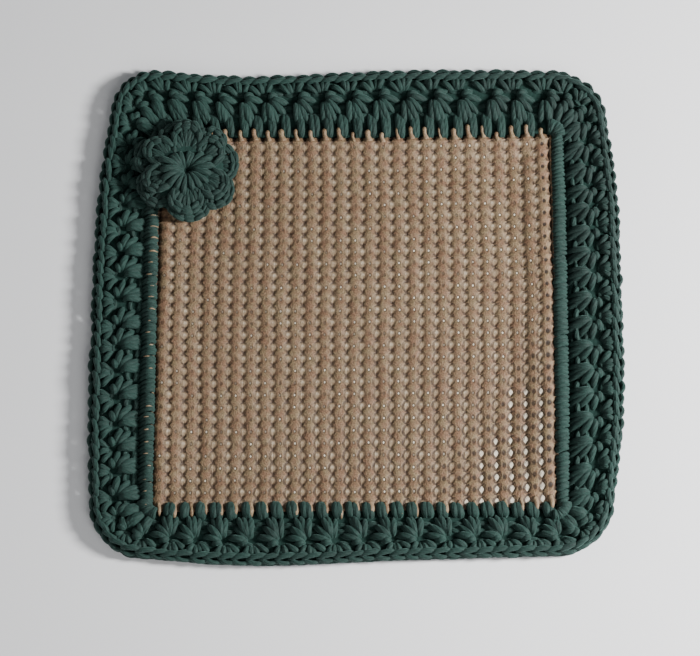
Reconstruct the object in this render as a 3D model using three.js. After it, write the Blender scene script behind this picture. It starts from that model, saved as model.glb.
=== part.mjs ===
// Jar gripper: a square of ribbed non-slip mesh, a crocheted border worked through its edge,
// and a crocheted flower sewn over one corner. It lies flat on a table.
// Millimetres. X runs to the right, Y away from the user, Z up from the table.
import * as THREE from 'three';
import { mergeVertices } from 'three/addons/utils/BufferGeometryUtils.js';

// Non-slip mesh: a cut square whose edge is held inside the border and whose middle rests on the table
const MESH_SIZE = 126;
const MESH_THICKNESS = 2.0;
const RIB_COUNT = 27;
const RIB_RELIEF = 0.35;
const MESH_EDGE_LIFT = 1.2;
const MESH_SETTLE = 12;

// Crocheted border: the opening that leaves the mesh bare, and the slot that grips the mesh
const OPENING_HALF = 62.3;
const OPENING_RADIUS = 1.2;
const FAN_START = 30;
const STEPS_PER_STITCH = 2;
const STITCHES_PER_STAR = 2;

// Where two sides of the outline would meet, the radius between them and the stitches on that bend
const CORNERS = [
  { name: 'far right', x: 80.2, y: 84.2, radius: 18, stitches: 6 },
  { name: 'far left', x: -81.2, y: 84.9, radius: 13, stitches: 5 },
  { name: 'near left', x: -82.0, y: -77.6, radius: 17, stitches: 6 },
  { name: 'near right', x: 79.8, y: -77.0, radius: 17, stitches: 6 },
];

// Sides in the order of the corners. The outline bows outward by half waves along each side:
// one half wave (bow), two (skew) and three (flat), as hand work does.
const SIDES = [
  { name: 'far', stitches: 29, bow: -1.26, skew: 1.15, flat: -0.36 },
  { name: 'left', stitches: 33, bow: 3.34, skew: 0.4, flat: 0.34 },
  { name: 'near', stitches: 29, bow: 2.77, skew: 0.55, flat: 0.27 },
  { name: 'right', stitches: 32, bow: 3.9, skew: -0.15, flat: 0.57 },
];

// Section of the border. across runs from the opening (0) to the outline (1), height is above the table.
// stitch and star are how far each stitch and each star lifts the point, scallop how far a stitch
// pushes it outward, and turn is the share of a star by which its rays lean along the border.
const SECTION = [
  { name: 'underside at the mesh', across: 0.03, height: 0, stitch: 0, star: 0, scallop: 0, turn: 0 },
  { name: 'underside at the outline', across: 0.96, height: 0, stitch: 0, star: 0, scallop: 0.3, turn: 0 },
  { name: 'outline, low', across: 0.995, height: 1.4, stitch: 0, star: 0, scallop: 0.45, turn: 0 },
  { name: 'outline, high', across: 0.995, height: 3.0, stitch: 0.1, star: 0, scallop: 0.45, turn: 0 },
  { name: 'edge chain, outer loop', across: 0.935, height: 4.3, stitch: 0.3, star: 0, scallop: 0, turn: 0 },
  { name: 'edge chain, inner loop', across: 0.84, height: 4.4, stitch: 0.25, star: 0, scallop: 0, turn: 0 },
  { name: 'groove inside the chain', across: 0.77, height: 3.7, stitch: 0.2, star: 0.1, scallop: 0, turn: 0 },
  { name: 'star eye', across: 0.68, height: 4.2, stitch: 0, star: 0.75, scallop: 0, turn: 0 },
  { name: 'star rays', across: 0.52, height: 4.7, stitch: 0, star: 0.45, scallop: 0, turn: 0.15 },
  { name: 'star tips', across: 0.37, height: 4.3, stitch: 0, star: 0.5, scallop: 0, turn: 0.25 },
  { name: 'groove inside the stars', across: 0.28, height: 3.5, stitch: 0.1, star: 0, scallop: 0, turn: 0 },
  { name: 'wrapped round, crown', across: 0.14, height: 4.8, stitch: 0.2, star: 0, scallop: 0, turn: 0 },
  { name: 'wrapped round, inner side', across: 0.01, height: 4.25, stitch: 0, star: 0, scallop: 0, turn: 0 },
  { name: 'slot, upper back', across: 0.12, height: 3.85, stitch: 0, star: 0, scallop: 0, turn: 0 },
  { name: 'slot, lower back', across: 0.12, height: 0.9, stitch: 0, star: 0, scallop: 0, turn: 0 },
];

// Flower: petals in front of a wider scalloped layer, over the far left corner of the opening
const FLOWER = { x: -54.5, y: 48.2, petals: 6, turn: 0.55, rays: 18 };
const FLOWER_STEPS_PER_PETAL = 12;
const FLOWER_OVER_MESH = 2.85;
const FLOWER_OVER_BORDER = 5.35;
const FLOWER_SETTLE = 12;

// Rings of the flower from the eye outward. height is above the flower's own underside, petal the share
// of the radius lost between two petals, ray how far each strand of the middle rises, and shift the
// share of a petal by which the ring is turned.
const FLOWER_RINGS = [
  { name: 'eye', radius: 1.2, height: 3.4, petal: 0, ray: 0, shift: 0 },
  { name: 'eye rim', radius: 2.6, height: 4.6, petal: 0, ray: 0.1, shift: 0 },
  { name: 'middle', radius: 6.0, height: 4.9, petal: 0.02, ray: 0.25, shift: 0 },
  { name: 'middle edge', radius: 8.6, height: 4.3, petal: 0.04, ray: 0.2, shift: 0 },
  { name: 'petal root', radius: 9.6, height: 3.7, petal: 0.08, ray: 0, shift: 0 },
  { name: 'petal rim, inner', radius: 12.4, height: 4.6, petal: 0.15, ray: 0, shift: 0 },
  { name: 'petal rim, outer', radius: 14.0, height: 4.1, petal: 0.17, ray: 0, shift: 0 },
  { name: 'petal foot', radius: 14.4, height: 2.6, petal: 0.15, ray: 0, shift: 0.1 },
  { name: 'back layer rim', radius: 15.9, height: 2.5, petal: 0.1, ray: 0, shift: 0.4 },
  { name: 'back layer edge', radius: 16.8, height: 1.3, petal: 0.1, ray: 0, shift: 0.5 },
  { name: 'underside edge', radius: 16.0, height: 0, petal: 0.1, ray: 0, shift: 0.5 },
  { name: 'underside, middle', radius: 9.0, height: 0, petal: 0, ray: 0, shift: 0 },
];

const YARN = { color: 0x24453d, roughness: 0.78, metalness: 0 };
const FOAM = { color: 0xa58d74, roughness: 0.62, metalness: 0 };

const smooth = (x) => THREE.MathUtils.smoothstep(x, 0, 1);

// One closed mesh from loops of equally many points that follow each other; the last loop meets the
// first (ring) or both end loops are filled to a middle point (capped).
function loftLoops(loops, capped) {
  const size = loops[0].length;
  const points = loops.flat();
  const faces = [];
  const spans = capped ? loops.length - 1 : loops.length;
  for (let i = 0; i < spans; i += 1) {
    const here = i * size;
    const next = ((i + 1) % loops.length) * size;
    for (let j = 0; j < size; j += 1) {
      const k = (j + 1) % size;
      faces.push(here + j, here + k, next + k);
      faces.push(here + j, next + k, next + j);
    }
  }
  if (capped) {
    [0, loops.length - 1].forEach((end) => {
      const loop = loops[end];
      const middle = loop.reduce((sum, p) => sum.add(p), new THREE.Vector3()).divideScalar(size);
      points.push(middle);
      for (let j = 0; j < size; j += 1) {
        const edge = [end * size + j, end * size + ((j + 1) % size)];
        faces.push(points.length - 1, ...(end === 0 ? edge.reverse() : edge));
      }
    });
  }
  return closedGeometry(points, faces);
}

// Merges the points, and turns the faces outward if the enclosed volume comes out negative
function closedGeometry(points, faces) {
  const volume = faces.reduce((sum, _, i) => {
    if (i % 3) return sum;
    const [a, b, c] = [points[faces[i]], points[faces[i + 1]], points[faces[i + 2]]];
    return sum + a.dot(b.clone().cross(c)) / 6;
  }, 0);
  const geometry = new THREE.BufferGeometry().setFromPoints(points);
  geometry.setIndex(volume < 0 ? faces.slice().reverse() : faces);
  const merged = mergeVertices(geometry, 1e-4);
  merged.computeVertexNormals();
  return merged;
}

// Outline and opening of the border as pairs of points, one pair for each step round it
function borderStations() {
  const stations = [];
  let stitch = 0;
  CORNERS.forEach((corner, k) => {
    const signX = Math.sign(corner.x);
    const signY = Math.sign(corner.y);
    const outerCentre = new THREE.Vector2(corner.x - signX * corner.radius, corner.y - signY * corner.radius);
    const innerCentre = new THREE.Vector2(signX, signY).multiplyScalar(OPENING_HALF - OPENING_RADIUS);
    const bendSteps = corner.stitches * STEPS_PER_STITCH;
    for (let i = 0; i < bendSteps; i += 1) {
      const angle = (k + i / bendSteps) * Math.PI / 2;
      const ray = new THREE.Vector2(Math.cos(angle), Math.sin(angle));
      stations.push({
        outer: outerCentre.clone().addScaledVector(ray, corner.radius),
        inner: innerCentre.clone().addScaledVector(ray, OPENING_RADIUS),
        stitch: stitch + i / STEPS_PER_STITCH,
      });
    }
    stitch += corner.stitches;
    stations.push(...sideStations(k, stitch));
    stitch += SIDES[k].stitches;
  });
  return stations;
}

// One side, from the bend of its own corner to the bend of the next one
function sideStations(k, firstStitch) {
  const side = SIDES[k];
  const corner = CORNERS[k];
  const next = CORNERS[(k + 1) % CORNERS.length];
  const angle = (k + 1) * Math.PI / 2;
  const outward = new THREE.Vector2(Math.cos(angle), Math.sin(angle));
  const along = new THREE.Vector2(-outward.y, outward.x);
  const start = new THREE.Vector2(corner.x, corner.y).addScaledVector(along, corner.radius);
  const end = new THREE.Vector2(next.x, next.y).addScaledVector(along, -next.radius);
  const steps = side.stitches * STEPS_PER_STITCH;
  const openingEnd = OPENING_HALF - OPENING_RADIUS;
  return Array.from({ length: steps }, (_, i) => {
    const share = i / steps;
    const wave = Math.PI * share;
    const bulge = side.bow * Math.sin(wave) + side.skew * Math.sin(2 * wave) + side.flat * Math.sin(3 * wave);
    const outer = start.clone().lerp(end, share).addScaledVector(outward, bulge);
    // Straight across in the middle of a side, fanning out to the bends
    const run = outer.dot(along);
    const reach = Math.abs(run < 0 ? start.dot(along) : end.dot(along));
    const fan = smooth((Math.abs(run) - FAN_START) / (reach - FAN_START));
    const innerRun = run - Math.sign(run) * (reach - openingEnd) * fan;
    const inner = outward.clone().multiplyScalar(OPENING_HALF).addScaledVector(along, innerRun);
    return { outer, inner, stitch: firstStitch + i / STEPS_PER_STITCH };
  });
}

// The border: one section swept round the stations, raised and scalloped by each stitch and star
function borderGeometry() {
  const loops = borderStations().map(({ outer, inner, stitch }) => {
    const across = outer.clone().sub(inner);
    const outward = across.clone().normalize();
    const stitchWave = Math.cos(2 * Math.PI * stitch);
    return SECTION.map((row) => {
      const starWave = -Math.cos(2 * Math.PI * (stitch / STITCHES_PER_STAR - row.turn));
      const flat = inner.clone().addScaledVector(across, row.across);
      flat.addScaledVector(outward, row.scallop * stitchWave);
      return new THREE.Vector3(flat.x, flat.y, row.height + row.stitch * stitchWave + row.star * starWave);
    });
  });
  return loftLoops(loops, false);
}

// How far the mesh stands off the table: held up at the border, flat a little way in
function meshLift(x, y) {
  const inset = MESH_SIZE / 2 - Math.max(Math.abs(x), Math.abs(y));
  return MESH_EDGE_LIFT * (1 - smooth((inset - 1.5) / MESH_SETTLE));
}

// The mesh as a sheet of ribs: three columns to a rib above, one below
function meshGeometry() {
  const half = MESH_SIZE / 2;
  const pitch = MESH_SIZE / RIB_COUNT;
  const ribShares = [
    { share: 0, relief: -1 },
    { share: 0.3, relief: 1 },
    { share: 0.7, relief: 1 },
  ];
  const columns = [];
  for (let rib = 0; rib < RIB_COUNT; rib += 1) {
    ribShares.forEach(({ share, relief }) => columns.push({ x: -half + (rib + share) * pitch, relief }));
  }
  columns.push({ x: half, relief: -1 });
  const insets = [0, 2.5, 5, 7.5, 10, 14];
  const rows = [...insets.map((d) => -half + d), ...insets.map((d) => half - d).reverse()];
  const loops = rows.map((y) => {
    const above = columns.map(({ x, relief }) => {
      return new THREE.Vector3(x, y, meshLift(x, y) + MESH_THICKNESS + relief * RIB_RELIEF);
    });
    const below = columns.map(({ x }) => new THREE.Vector3(x, y, meshLift(x, y))).reverse();
    return [...above, ...below];
  });
  return stripGeometry(loops, columns.length);
}

// A slab whose loops are open strips of points above and below: the two end loops are closed by quads
function stripGeometry(loops, count) {
  const size = loops[0].length;
  const points = loops.flat();
  const faces = [];
  for (let i = 0; i < loops.length - 1; i += 1) {
    for (let j = 0; j < size; j += 1) {
      const k = (j + 1) % size;
      faces.push(i * size + j, i * size + k, (i + 1) * size + k);
      faces.push(i * size + j, (i + 1) * size + k, (i + 1) * size + j);
    }
  }
  [0, loops.length - 1].forEach((end) => {
    for (let j = 0; j < count - 1; j += 1) {
      const quad = [j, j + 1, size - 2 - j, size - 1 - j].map((index) => end * size + index);
      const turned = end === 0 ? quad.reverse() : quad;
      faces.push(turned[0], turned[1], turned[2], turned[0], turned[2], turned[3]);
    }
  });
  return closedGeometry(points, faces);
}

// Underside of the flower: level over the border, and easing down to the mesh inside the opening
function flowerUnderside(x, y) {
  const inside = OPENING_HALF - Math.max(Math.abs(x), Math.abs(y));
  return THREE.MathUtils.lerp(FLOWER_OVER_BORDER, FLOWER_OVER_MESH, smooth(inside / FLOWER_SETTLE));
}

function flowerGeometry() {
  const steps = FLOWER.petals * FLOWER_STEPS_PER_PETAL;
  const loops = FLOWER_RINGS.map((ring) => Array.from({ length: steps }, (_, i) => {
    const turn = (2 * Math.PI * i) / steps;
    const petalWave = Math.abs(Math.sin(FLOWER.petals / 2 * turn - Math.PI * ring.shift));
    const radius = ring.radius * (1 - ring.petal * (1 - Math.sqrt(petalWave)));
    const x = FLOWER.x + radius * Math.cos(turn + FLOWER.turn);
    const y = FLOWER.y + radius * Math.sin(turn + FLOWER.turn);
    const ray = ring.ray * Math.cos(FLOWER.rays * turn);
    return new THREE.Vector3(x, y, flowerUnderside(x, y) + ring.height + ray);
  }));
  return loftLoops(loops, true);
}

function piece(name, geometry, finish) {
  const mesh = new THREE.Mesh(geometry, new THREE.MeshStandardMaterial(finish));
  mesh.name = name;
  return mesh;
}

const gripper = new THREE.Group();
gripper.add(
  piece('mesh_panel', meshGeometry(), FOAM),
  piece('crochet_border', borderGeometry(), YARN),
  piece('crochet_flower', flowerGeometry(), YARN),
);

// The outline is uneven, so the middle of its box is put on the Z axis
const box = new THREE.Box3().setFromObject(gripper);
gripper.position.set(-(box.min.x + box.max.x) / 2, -(box.min.y + box.max.y) / 2, -box.min.z);

export default gripper;
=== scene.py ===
"""Jar gripper: a square of ribbed non-slip mesh with a crocheted border and a crocheted flower."""
import math
from collections import namedtuple
from functools import partial

import bmesh
import bpy
import numpy as np
from bpy.props import FloatProperty, IntProperty, PointerProperty, StringProperty
from mathutils import Matrix, Vector


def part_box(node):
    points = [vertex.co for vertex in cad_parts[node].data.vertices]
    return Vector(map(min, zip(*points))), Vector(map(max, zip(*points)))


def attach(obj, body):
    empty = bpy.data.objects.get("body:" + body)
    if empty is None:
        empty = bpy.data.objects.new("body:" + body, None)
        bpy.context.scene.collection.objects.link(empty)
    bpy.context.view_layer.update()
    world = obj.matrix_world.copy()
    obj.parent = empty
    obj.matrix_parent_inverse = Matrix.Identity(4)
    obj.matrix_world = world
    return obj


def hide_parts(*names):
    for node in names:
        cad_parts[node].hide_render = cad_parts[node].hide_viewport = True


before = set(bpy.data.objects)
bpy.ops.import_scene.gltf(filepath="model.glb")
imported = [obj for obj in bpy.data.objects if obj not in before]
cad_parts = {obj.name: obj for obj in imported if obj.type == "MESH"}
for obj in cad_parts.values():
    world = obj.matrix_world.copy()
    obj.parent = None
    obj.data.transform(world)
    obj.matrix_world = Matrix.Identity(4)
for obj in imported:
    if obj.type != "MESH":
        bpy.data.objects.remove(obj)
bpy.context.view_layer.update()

bl_info = {
    "name": "Crocheted jar gripper",
    "version": (1, 0, 0),
    "blender": (4, 5, 0),
    "location": "View3D > Sidebar > Gripper",
    "description": "Lays crochet strands and non-slip mesh round the solids of a jar gripper",
    "category": "Object",
}

MM = 0.001
BODY = "root"

# Middle and half width of the mesh, from the frame
MESH_LOW, MESH_HIGH = (np.array(corner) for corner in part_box("mesh_panel"))
MIDDLE = (MESH_LOW + MESH_HIGH) / 2
MESH_HALF = (MESH_HIGH[0] - MESH_LOW[0]) / 2
HALF_MM = MESH_HALF / MM

# Border, in millimetres from the middle of the mesh: its opening, and where a side starts to fan out
OPENING_HALF = 62.3
OPENING_RADIUS = 1.2
OPENING_END = OPENING_HALF - OPENING_RADIUS
FAN_START = 30.0
RAIL_STEPS = 8
STITCHES_PER_STAR = 2
STITCH_MM = 4.3
BAND_MM = 20.0

# Corners of the outline, anticlockwise from the far right one, and the side that follows each of them:
# its stitches, and how its outline bows by one, two and three half waves
Corner = namedtuple("Corner", "x y radius stitches")
CORNERS = (
    Corner(79.9, 85.2, 18.0, 6),
    Corner(-81.2, 84.9, 13.0, 5),
    Corner(-82.0, -78.1, 17.0, 6),
    Corner(79.6, -76.3, 18.5, 6),
)
FAR, LEFT, NEAR, RIGHT = range(4)
Side = namedtuple("Side", "stitches bow skew flat")
SIDES = (
    Side(29, -1.26, 1.15, -0.36),
    Side(33, 3.34, 0.4, 0.34),
    Side(29, 2.0, 0.95, 0.27),
    Side(32, 4.25, 0.2, 0.57),
)
STITCHES = sum(part.stitches for part in CORNERS + SIDES)
# Stitches over which what is peculiar to a side fades out at its two ends
SIDE_FADE = 3


def ease(share):
    """Smooth step from 0 to 1."""
    share = np.clip(share, 0.0, 1.0)
    return share * share * (3 - 2 * share)


def placed(x, y, z):
    """Points in metres, from places in mm: x and y from the middle of the mesh, z above the table."""
    return np.stack(np.broadcast_arrays(x * MM + MIDDLE[0], y * MM + MIDDLE[1], z * MM), -1)


def corner_rails(number):
    """Outline and opening round a corner, in mm."""
    corner = CORNERS[number]
    sign = np.sign((corner.x, corner.y))
    steps = corner.stitches * RAIL_STEPS
    angle = (number + np.arange(steps) / steps) * math.pi / 2
    ray = np.stack([np.cos(angle), np.sin(angle)], 1)
    outer = (corner.x, corner.y) - sign * corner.radius + ray * corner.radius
    return outer, sign * OPENING_END + ray * OPENING_RADIUS


def side_rails(number):
    """Outline and opening along the side that follows a corner, in mm."""
    side = SIDES[number]
    corner, following = CORNERS[number], CORNERS[(number + 1) % 4]
    angle = (number + 1) * math.pi / 2
    outward = np.round([math.cos(angle), math.sin(angle)])
    along = np.array([-outward[1], outward[0]])
    start = (corner.x, corner.y) + along * corner.radius
    end = (following.x, following.y) - along * following.radius
    steps = side.stitches * RAIL_STEPS
    share = (np.arange(steps) / steps)[:, None]
    wave = math.pi * share
    bulge = side.bow * np.sin(wave) + side.skew * np.sin(2 * wave) + side.flat * np.sin(3 * wave)
    outer = start + (end - start) * share + outward * bulge
    run = outer @ along
    reach = np.abs(np.where(run < 0, start @ along, end @ along))
    fan = ease((np.abs(run) - FAN_START) / (reach - FAN_START))
    inner_run = run - np.sign(run) * (reach - OPENING_END) * fan
    return outer, outward * OPENING_HALF + along * inner_run[:, None]


def rail_points():
    """Rows of stitch number, outline and opening, all round the border, in metres."""
    rows = []
    stitch = 0
    for number in range(4):
        for part, rails in ((CORNERS[number], corner_rails), (SIDES[number], side_rails)):
            numbers = stitch + np.arange(part.stitches * RAIL_STEPS) / RAIL_STEPS
            rows.append(np.column_stack([numbers, *rails(number)]))
            stitch += part.stitches
    table = np.concatenate(rows)
    table[:, 1:] *= MM
    table[:, 1::2] += MIDDLE[0]
    table[:, 2::2] += MIDDLE[1]
    return table


RAILS = rail_points()


def on_band(stitch, across, height):
    """Points on the border: stitch number round it, share from opening to outline, height in mm."""
    stitch, across, height = np.broadcast_arrays(stitch, across, height)
    x0, y0, x1, y1 = (
        np.interp(np.mod(stitch, STITCHES), RAILS[:, 0], RAILS[:, column], period=STITCHES)
        for column in (3, 4, 1, 2)
    )
    return np.stack([x0 + (x1 - x0) * across, y0 + (y1 - y0) * across, height * MM], -1)


def side_span(number):
    """First and last stitch number of a side."""
    first = sum(c.stitches for c in CORNERS[: number + 1]) + sum(s.stitches for s in SIDES[:number])
    return first, first + SIDES[number].stitches


def stitch_at(number, run):
    """Stitch number where the opening of a side has a given run from its middle, in mm."""
    first, last = side_span(number)
    rows = RAILS[(RAILS[:, 0] >= first) & (RAILS[:, 0] < last)]
    axis = number % 2
    runs = (rows[:, 3 + axis] - MIDDLE[axis]) / MM
    order = np.argsort(runs)
    return np.interp(run, runs[order], rows[order, 0])


def on_sides(stitch, amounts):
    """An amount for each side named, which holds along that side and fades out at its two ends."""
    total = 0.0
    for number, amount in amounts.items():
        first, last = side_span(number)
        total = total + amount * (ease((stitch - first) / SIDE_FADE) * ease((last - stitch) / SIDE_FADE))
    return total


# Small shapes: one template made by operators, repeated as arrays of points

Shape = namedtuple("Shape", "points faces uvs tone")
Template = namedtuple("Template", "ring turn quads first last")
# Strands: their girth from end to end, their height beside their width, the way up from which their first
# ring is turned, and the length of yarn in mm over which their twist may start
EVEN_GIRTH = (0.5, 0.93, 1.0, 1.0, 1.0, 0.93, 0.5)
STRAND_FLATNESS = 0.9
NEARLY_UP = (0.02, 0.01, 1.0)
TWIST_START = 10
# Distances in metres within which points are merged
MERGE, MERGE_SKINS, DEGENERATE = 1e-6, 2e-6, 1e-7


def tube_template(rings, sides):
    """A straight tube: ring and turn of each of its points, its side faces and its two end faces."""
    bm = bmesh.new()
    bmesh.ops.create_cone(bm, cap_ends=True, segments=sides, radius1=1.0, radius2=1.0, depth=1.0)
    lengthwise = [e for e in bm.edges if abs(e.verts[0].co.z - e.verts[1].co.z) > 0.5]
    bmesh.ops.subdivide_edges(bm, edges=lengthwise, cuts=rings - 2)
    bm.verts.index_update()
    ring = np.array([round((v.co.z + 0.5) * (rings - 1)) for v in bm.verts])
    turn = np.array([math.atan2(v.co.y, v.co.x) / math.tau % 1.0 for v in bm.verts])
    faces = [np.array([v.index for v in f.verts]) for f in bm.faces]
    bm.free()
    levels = [ring[f] for f in faces]
    quads = np.array([f for f, level in zip(faces, levels) if level.min() != level.max()])
    first = np.array([f for f, level in zip(faces, levels) if level.max() == 0])
    last = np.array([f for f, level in zip(faces, levels) if level.min() == rings - 1])
    return Template(ring, turn, quads, first, last)


def smooth_paths(knots, rings):
    """Smooth curves through rows of knots, each cut into one point for each ring."""
    first = 2 * knots[:, :1] - knots[:, 1:2]
    last = 2 * knots[:, -1:] - knots[:, -2:-1]
    padded = np.concatenate([first, knots, last], axis=1)
    place = np.linspace(0, knots.shape[1] - 1.0001, rings)
    index = place.astype(int)
    f = (place - index)[None, :, None]
    p0, p1, p2, p3 = (padded[:, index + j] for j in range(4))
    return 0.5 * (
        2 * p1 + (p2 - p0) * f + (2 * p0 - 5 * p1 + 4 * p2 - p3) * f**2 + (3 * p1 - p0 - 3 * p2 + p3) * f**3
    )


def unit(vectors):
    """The vectors at length 1."""
    return vectors / np.maximum(np.linalg.norm(vectors, axis=-1, keepdims=True), 1e-12)


def strands(knots, radius, rng, rings=11, sides=8, girth=EVEN_GIRTH, spread=0.06):
    """Tubes along rows of knots in metres; radius in mm, times girth along the tube."""
    tube = tube_template(rings, sides)
    path = smooth_paths(knots, rings)
    count = len(path)
    tangent = unit(np.gradient(path, axis=1))
    side = unit(np.cross(tangent[:, 0], NEARLY_UP))
    frames = [side]
    for k in range(1, rings):
        along = tangent[:, k]
        side = unit(side - along * np.sum(side * along, axis=1, keepdims=True))
        frames.append(side)
    side = np.stack(frames, axis=1)
    up = np.cross(side, tangent)
    profile = np.interp(np.linspace(0, 1, rings), np.linspace(0, 1, len(girth)), girth)
    reach = radius * MM * (1 + spread * rng.standard_normal((count, 1))) * profile
    angle = tube.turn * math.tau
    points = (
        path[:, tube.ring]
        + side[:, tube.ring] * (reach[:, tube.ring] * np.cos(angle))[..., None]
        + up[:, tube.ring] * (reach[:, tube.ring] * np.sin(angle) * STRAND_FLATNESS)[..., None]
    )
    step = np.linalg.norm(np.diff(path, axis=1), axis=2)
    length = np.concatenate([np.zeros((count, 1)), np.cumsum(step, axis=1)], axis=1)[:, tube.ring] / MM
    length += rng.uniform(0, TWIST_START, (count, 1))
    faces, uvs = [], []
    offset = (np.arange(count) * len(tube.ring))[:, None, None]
    for kind in (tube.quads, tube.first, tube.last):
        around = tube.turn[kind]
        if kind is tube.quads:
            around = np.where(around.max(axis=1, keepdims=True) - around > 0.5, around + 1, around)
        around = np.broadcast_to(around, (count, *around.shape))
        faces.append((kind + offset).reshape(-1, kind.shape[1]))
        uvs.append(np.stack([length[:, kind], around], -1).reshape(-1, 2))
    tone = np.repeat(rng.uniform(0, 1, count), len(tube.ring))
    return Shape(points.reshape(-1, 3), faces, uvs, tone)


def toned(shapes, gain, shift):
    """The shapes with their tones scaled and shifted."""
    return [shape._replace(tone=gain * shape.tone + shift) for shape in shapes]


def linked(name, data):
    """A new object in the scene."""
    thing = bpy.data.objects.new(name, data)
    bpy.context.scene.collection.objects.link(thing)
    return thing


def piece_from(name, shapes, uv_name):
    """One mesh object from several arrays of small shapes."""
    loops, sizes = [], []
    base = 0
    for shape in shapes:
        for faces in shape.faces:
            loops.append((faces + base).reshape(-1))
            sizes.append(np.full(len(faces), faces.shape[1]))
        base += len(shape.points)
    loops, sizes = np.concatenate(loops), np.concatenate(sizes)
    starts = np.concatenate([[0], np.cumsum(sizes)[:-1]])
    mesh = bpy.data.meshes.new(name)
    mesh.vertices.add(base)
    points = np.concatenate([shape.points for shape in shapes])
    mesh.vertices.foreach_set("co", points.astype(np.float32).ravel())
    mesh.loops.add(len(loops))
    mesh.loops.foreach_set("vertex_index", loops.astype(np.int32))
    mesh.polygons.add(len(sizes))
    mesh.polygons.foreach_set("loop_start", starts.astype(np.int32))
    mesh.update(calc_edges=True)
    mesh.shade_smooth()
    uvs = np.concatenate([uv for shape in shapes for uv in shape.uvs])
    mesh.uv_layers.new(name=uv_name).data.foreach_set("uv", uvs.astype(np.float32).ravel())
    tones = np.concatenate([shape.tone for shape in shapes])
    mesh.attributes.new("tone", "FLOAT", "POINT").data.foreach_set("value", tones.astype(np.float32))
    return linked(name, mesh)


def mapped_grid(name, rows):
    """A closed piece: a grid made by an operator, bent so that rows of points meet and are merged."""
    count, size = rows.shape[:2]
    bm = bmesh.new()
    bmesh.ops.create_grid(bm, x_segments=count, y_segments=size, size=1.0)
    spots = np.array([v.co[:2] for v in bm.verts])
    i = np.rint((spots[:, 0] + 1) / 2 * count).astype(int) % count
    j = np.rint((spots[:, 1] + 1) / 2 * size).astype(int) % size
    for vert, point in zip(bm.verts, rows[i, j]):
        vert.co = point
    bmesh.ops.remove_doubles(bm, verts=bm.verts, dist=MERGE)
    bmesh.ops.dissolve_degenerate(bm, edges=bm.edges, dist=DEGENERATE)
    bmesh.ops.recalc_face_normals(bm, faces=bm.faces)
    mesh = bpy.data.meshes.new(name)
    bm.to_mesh(mesh)
    bm.free()
    mesh.shade_smooth()
    return linked(name, mesh)


def settle(piece, node, material):
    """What every piece has: its finish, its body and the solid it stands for."""
    piece.data.materials.append(material)
    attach(piece, BODY)
    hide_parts(node)


# Materials. The inputs of a range node are its value, the two ends it is read between, and what they turn
# into. A colour mix takes its share at 0 and its colours at 6 and 7, and gives its colour at 2.

COLOUR = {"data_type": "RGBA"}
SOFT = {"interpolation_type": "SMOOTHSTEP"}


def linear(hex_colour):
    """Linear RGBA of an sRGB hex colour."""
    value = hex_colour.lstrip("#")
    channels = [int(value[i:i + 2], 16) / 255 for i in (0, 2, 4)]
    return (*(c / 12.92 if c <= 0.04045 else ((c + 0.055) / 1.055) ** 2.4 for c in channels), 1.0)


def add_node(tree, kind, *inputs, **settings):
    """Adds a node, whose operation follows its kind after a space.

    The inputs come in a row, or as one dict by name or number. Each takes a value, or a link from a socket
    or from a node's first output."""
    kind, _, operation = kind.partition(" ")
    node = tree.nodes.new("ShaderNode" + kind)
    if operation:
        node.operation = operation
    for key, value in settings.items():
        setattr(node, key, value)
    named = inputs and isinstance(inputs[0], dict)
    for key, value in inputs[0].items() if named else enumerate(inputs):
        source = value.outputs[0] if isinstance(value, bpy.types.Node) else value
        if isinstance(source, bpy.types.NodeSocket):
            tree.links.new(source, node.inputs[key])
        else:
            node.inputs[key].default_value = source
    return node


def new_material(name):
    """An empty material, what adds its nodes, and the place on the piece."""
    material = bpy.data.materials.new(name)
    material.use_nodes = True
    material.node_tree.nodes.clear()
    add = partial(add_node, material.node_tree)
    return material, add, add("TexCoord").outputs["Object"]


def scale_of(width):
    """Scale of a pattern whose spots have a width in mm."""
    return 1 / (width * MM)


# Yarn: where a ply rises from its seam to its top; how much its dye follows each strand's own tone and its
# fibres, beside the cloud, and the range between its dark and its light end; the painted shade in the seam
# between two plies; how high the fibres are beside the plies; and the width in mm of the spots in the shade
PLY_RANGE = (-1.0, 0.4)
STRAND_TONE = 0.45
FIBRE_TONE = 2.6
DYE_RANGE = (1.35, 2.5)
SEAM_SHADE = (0.3, 0.36, 0.36, 1.0)
FIBRE_RELIEF = 2.2
SHADE_SPOTS = 0.9


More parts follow.
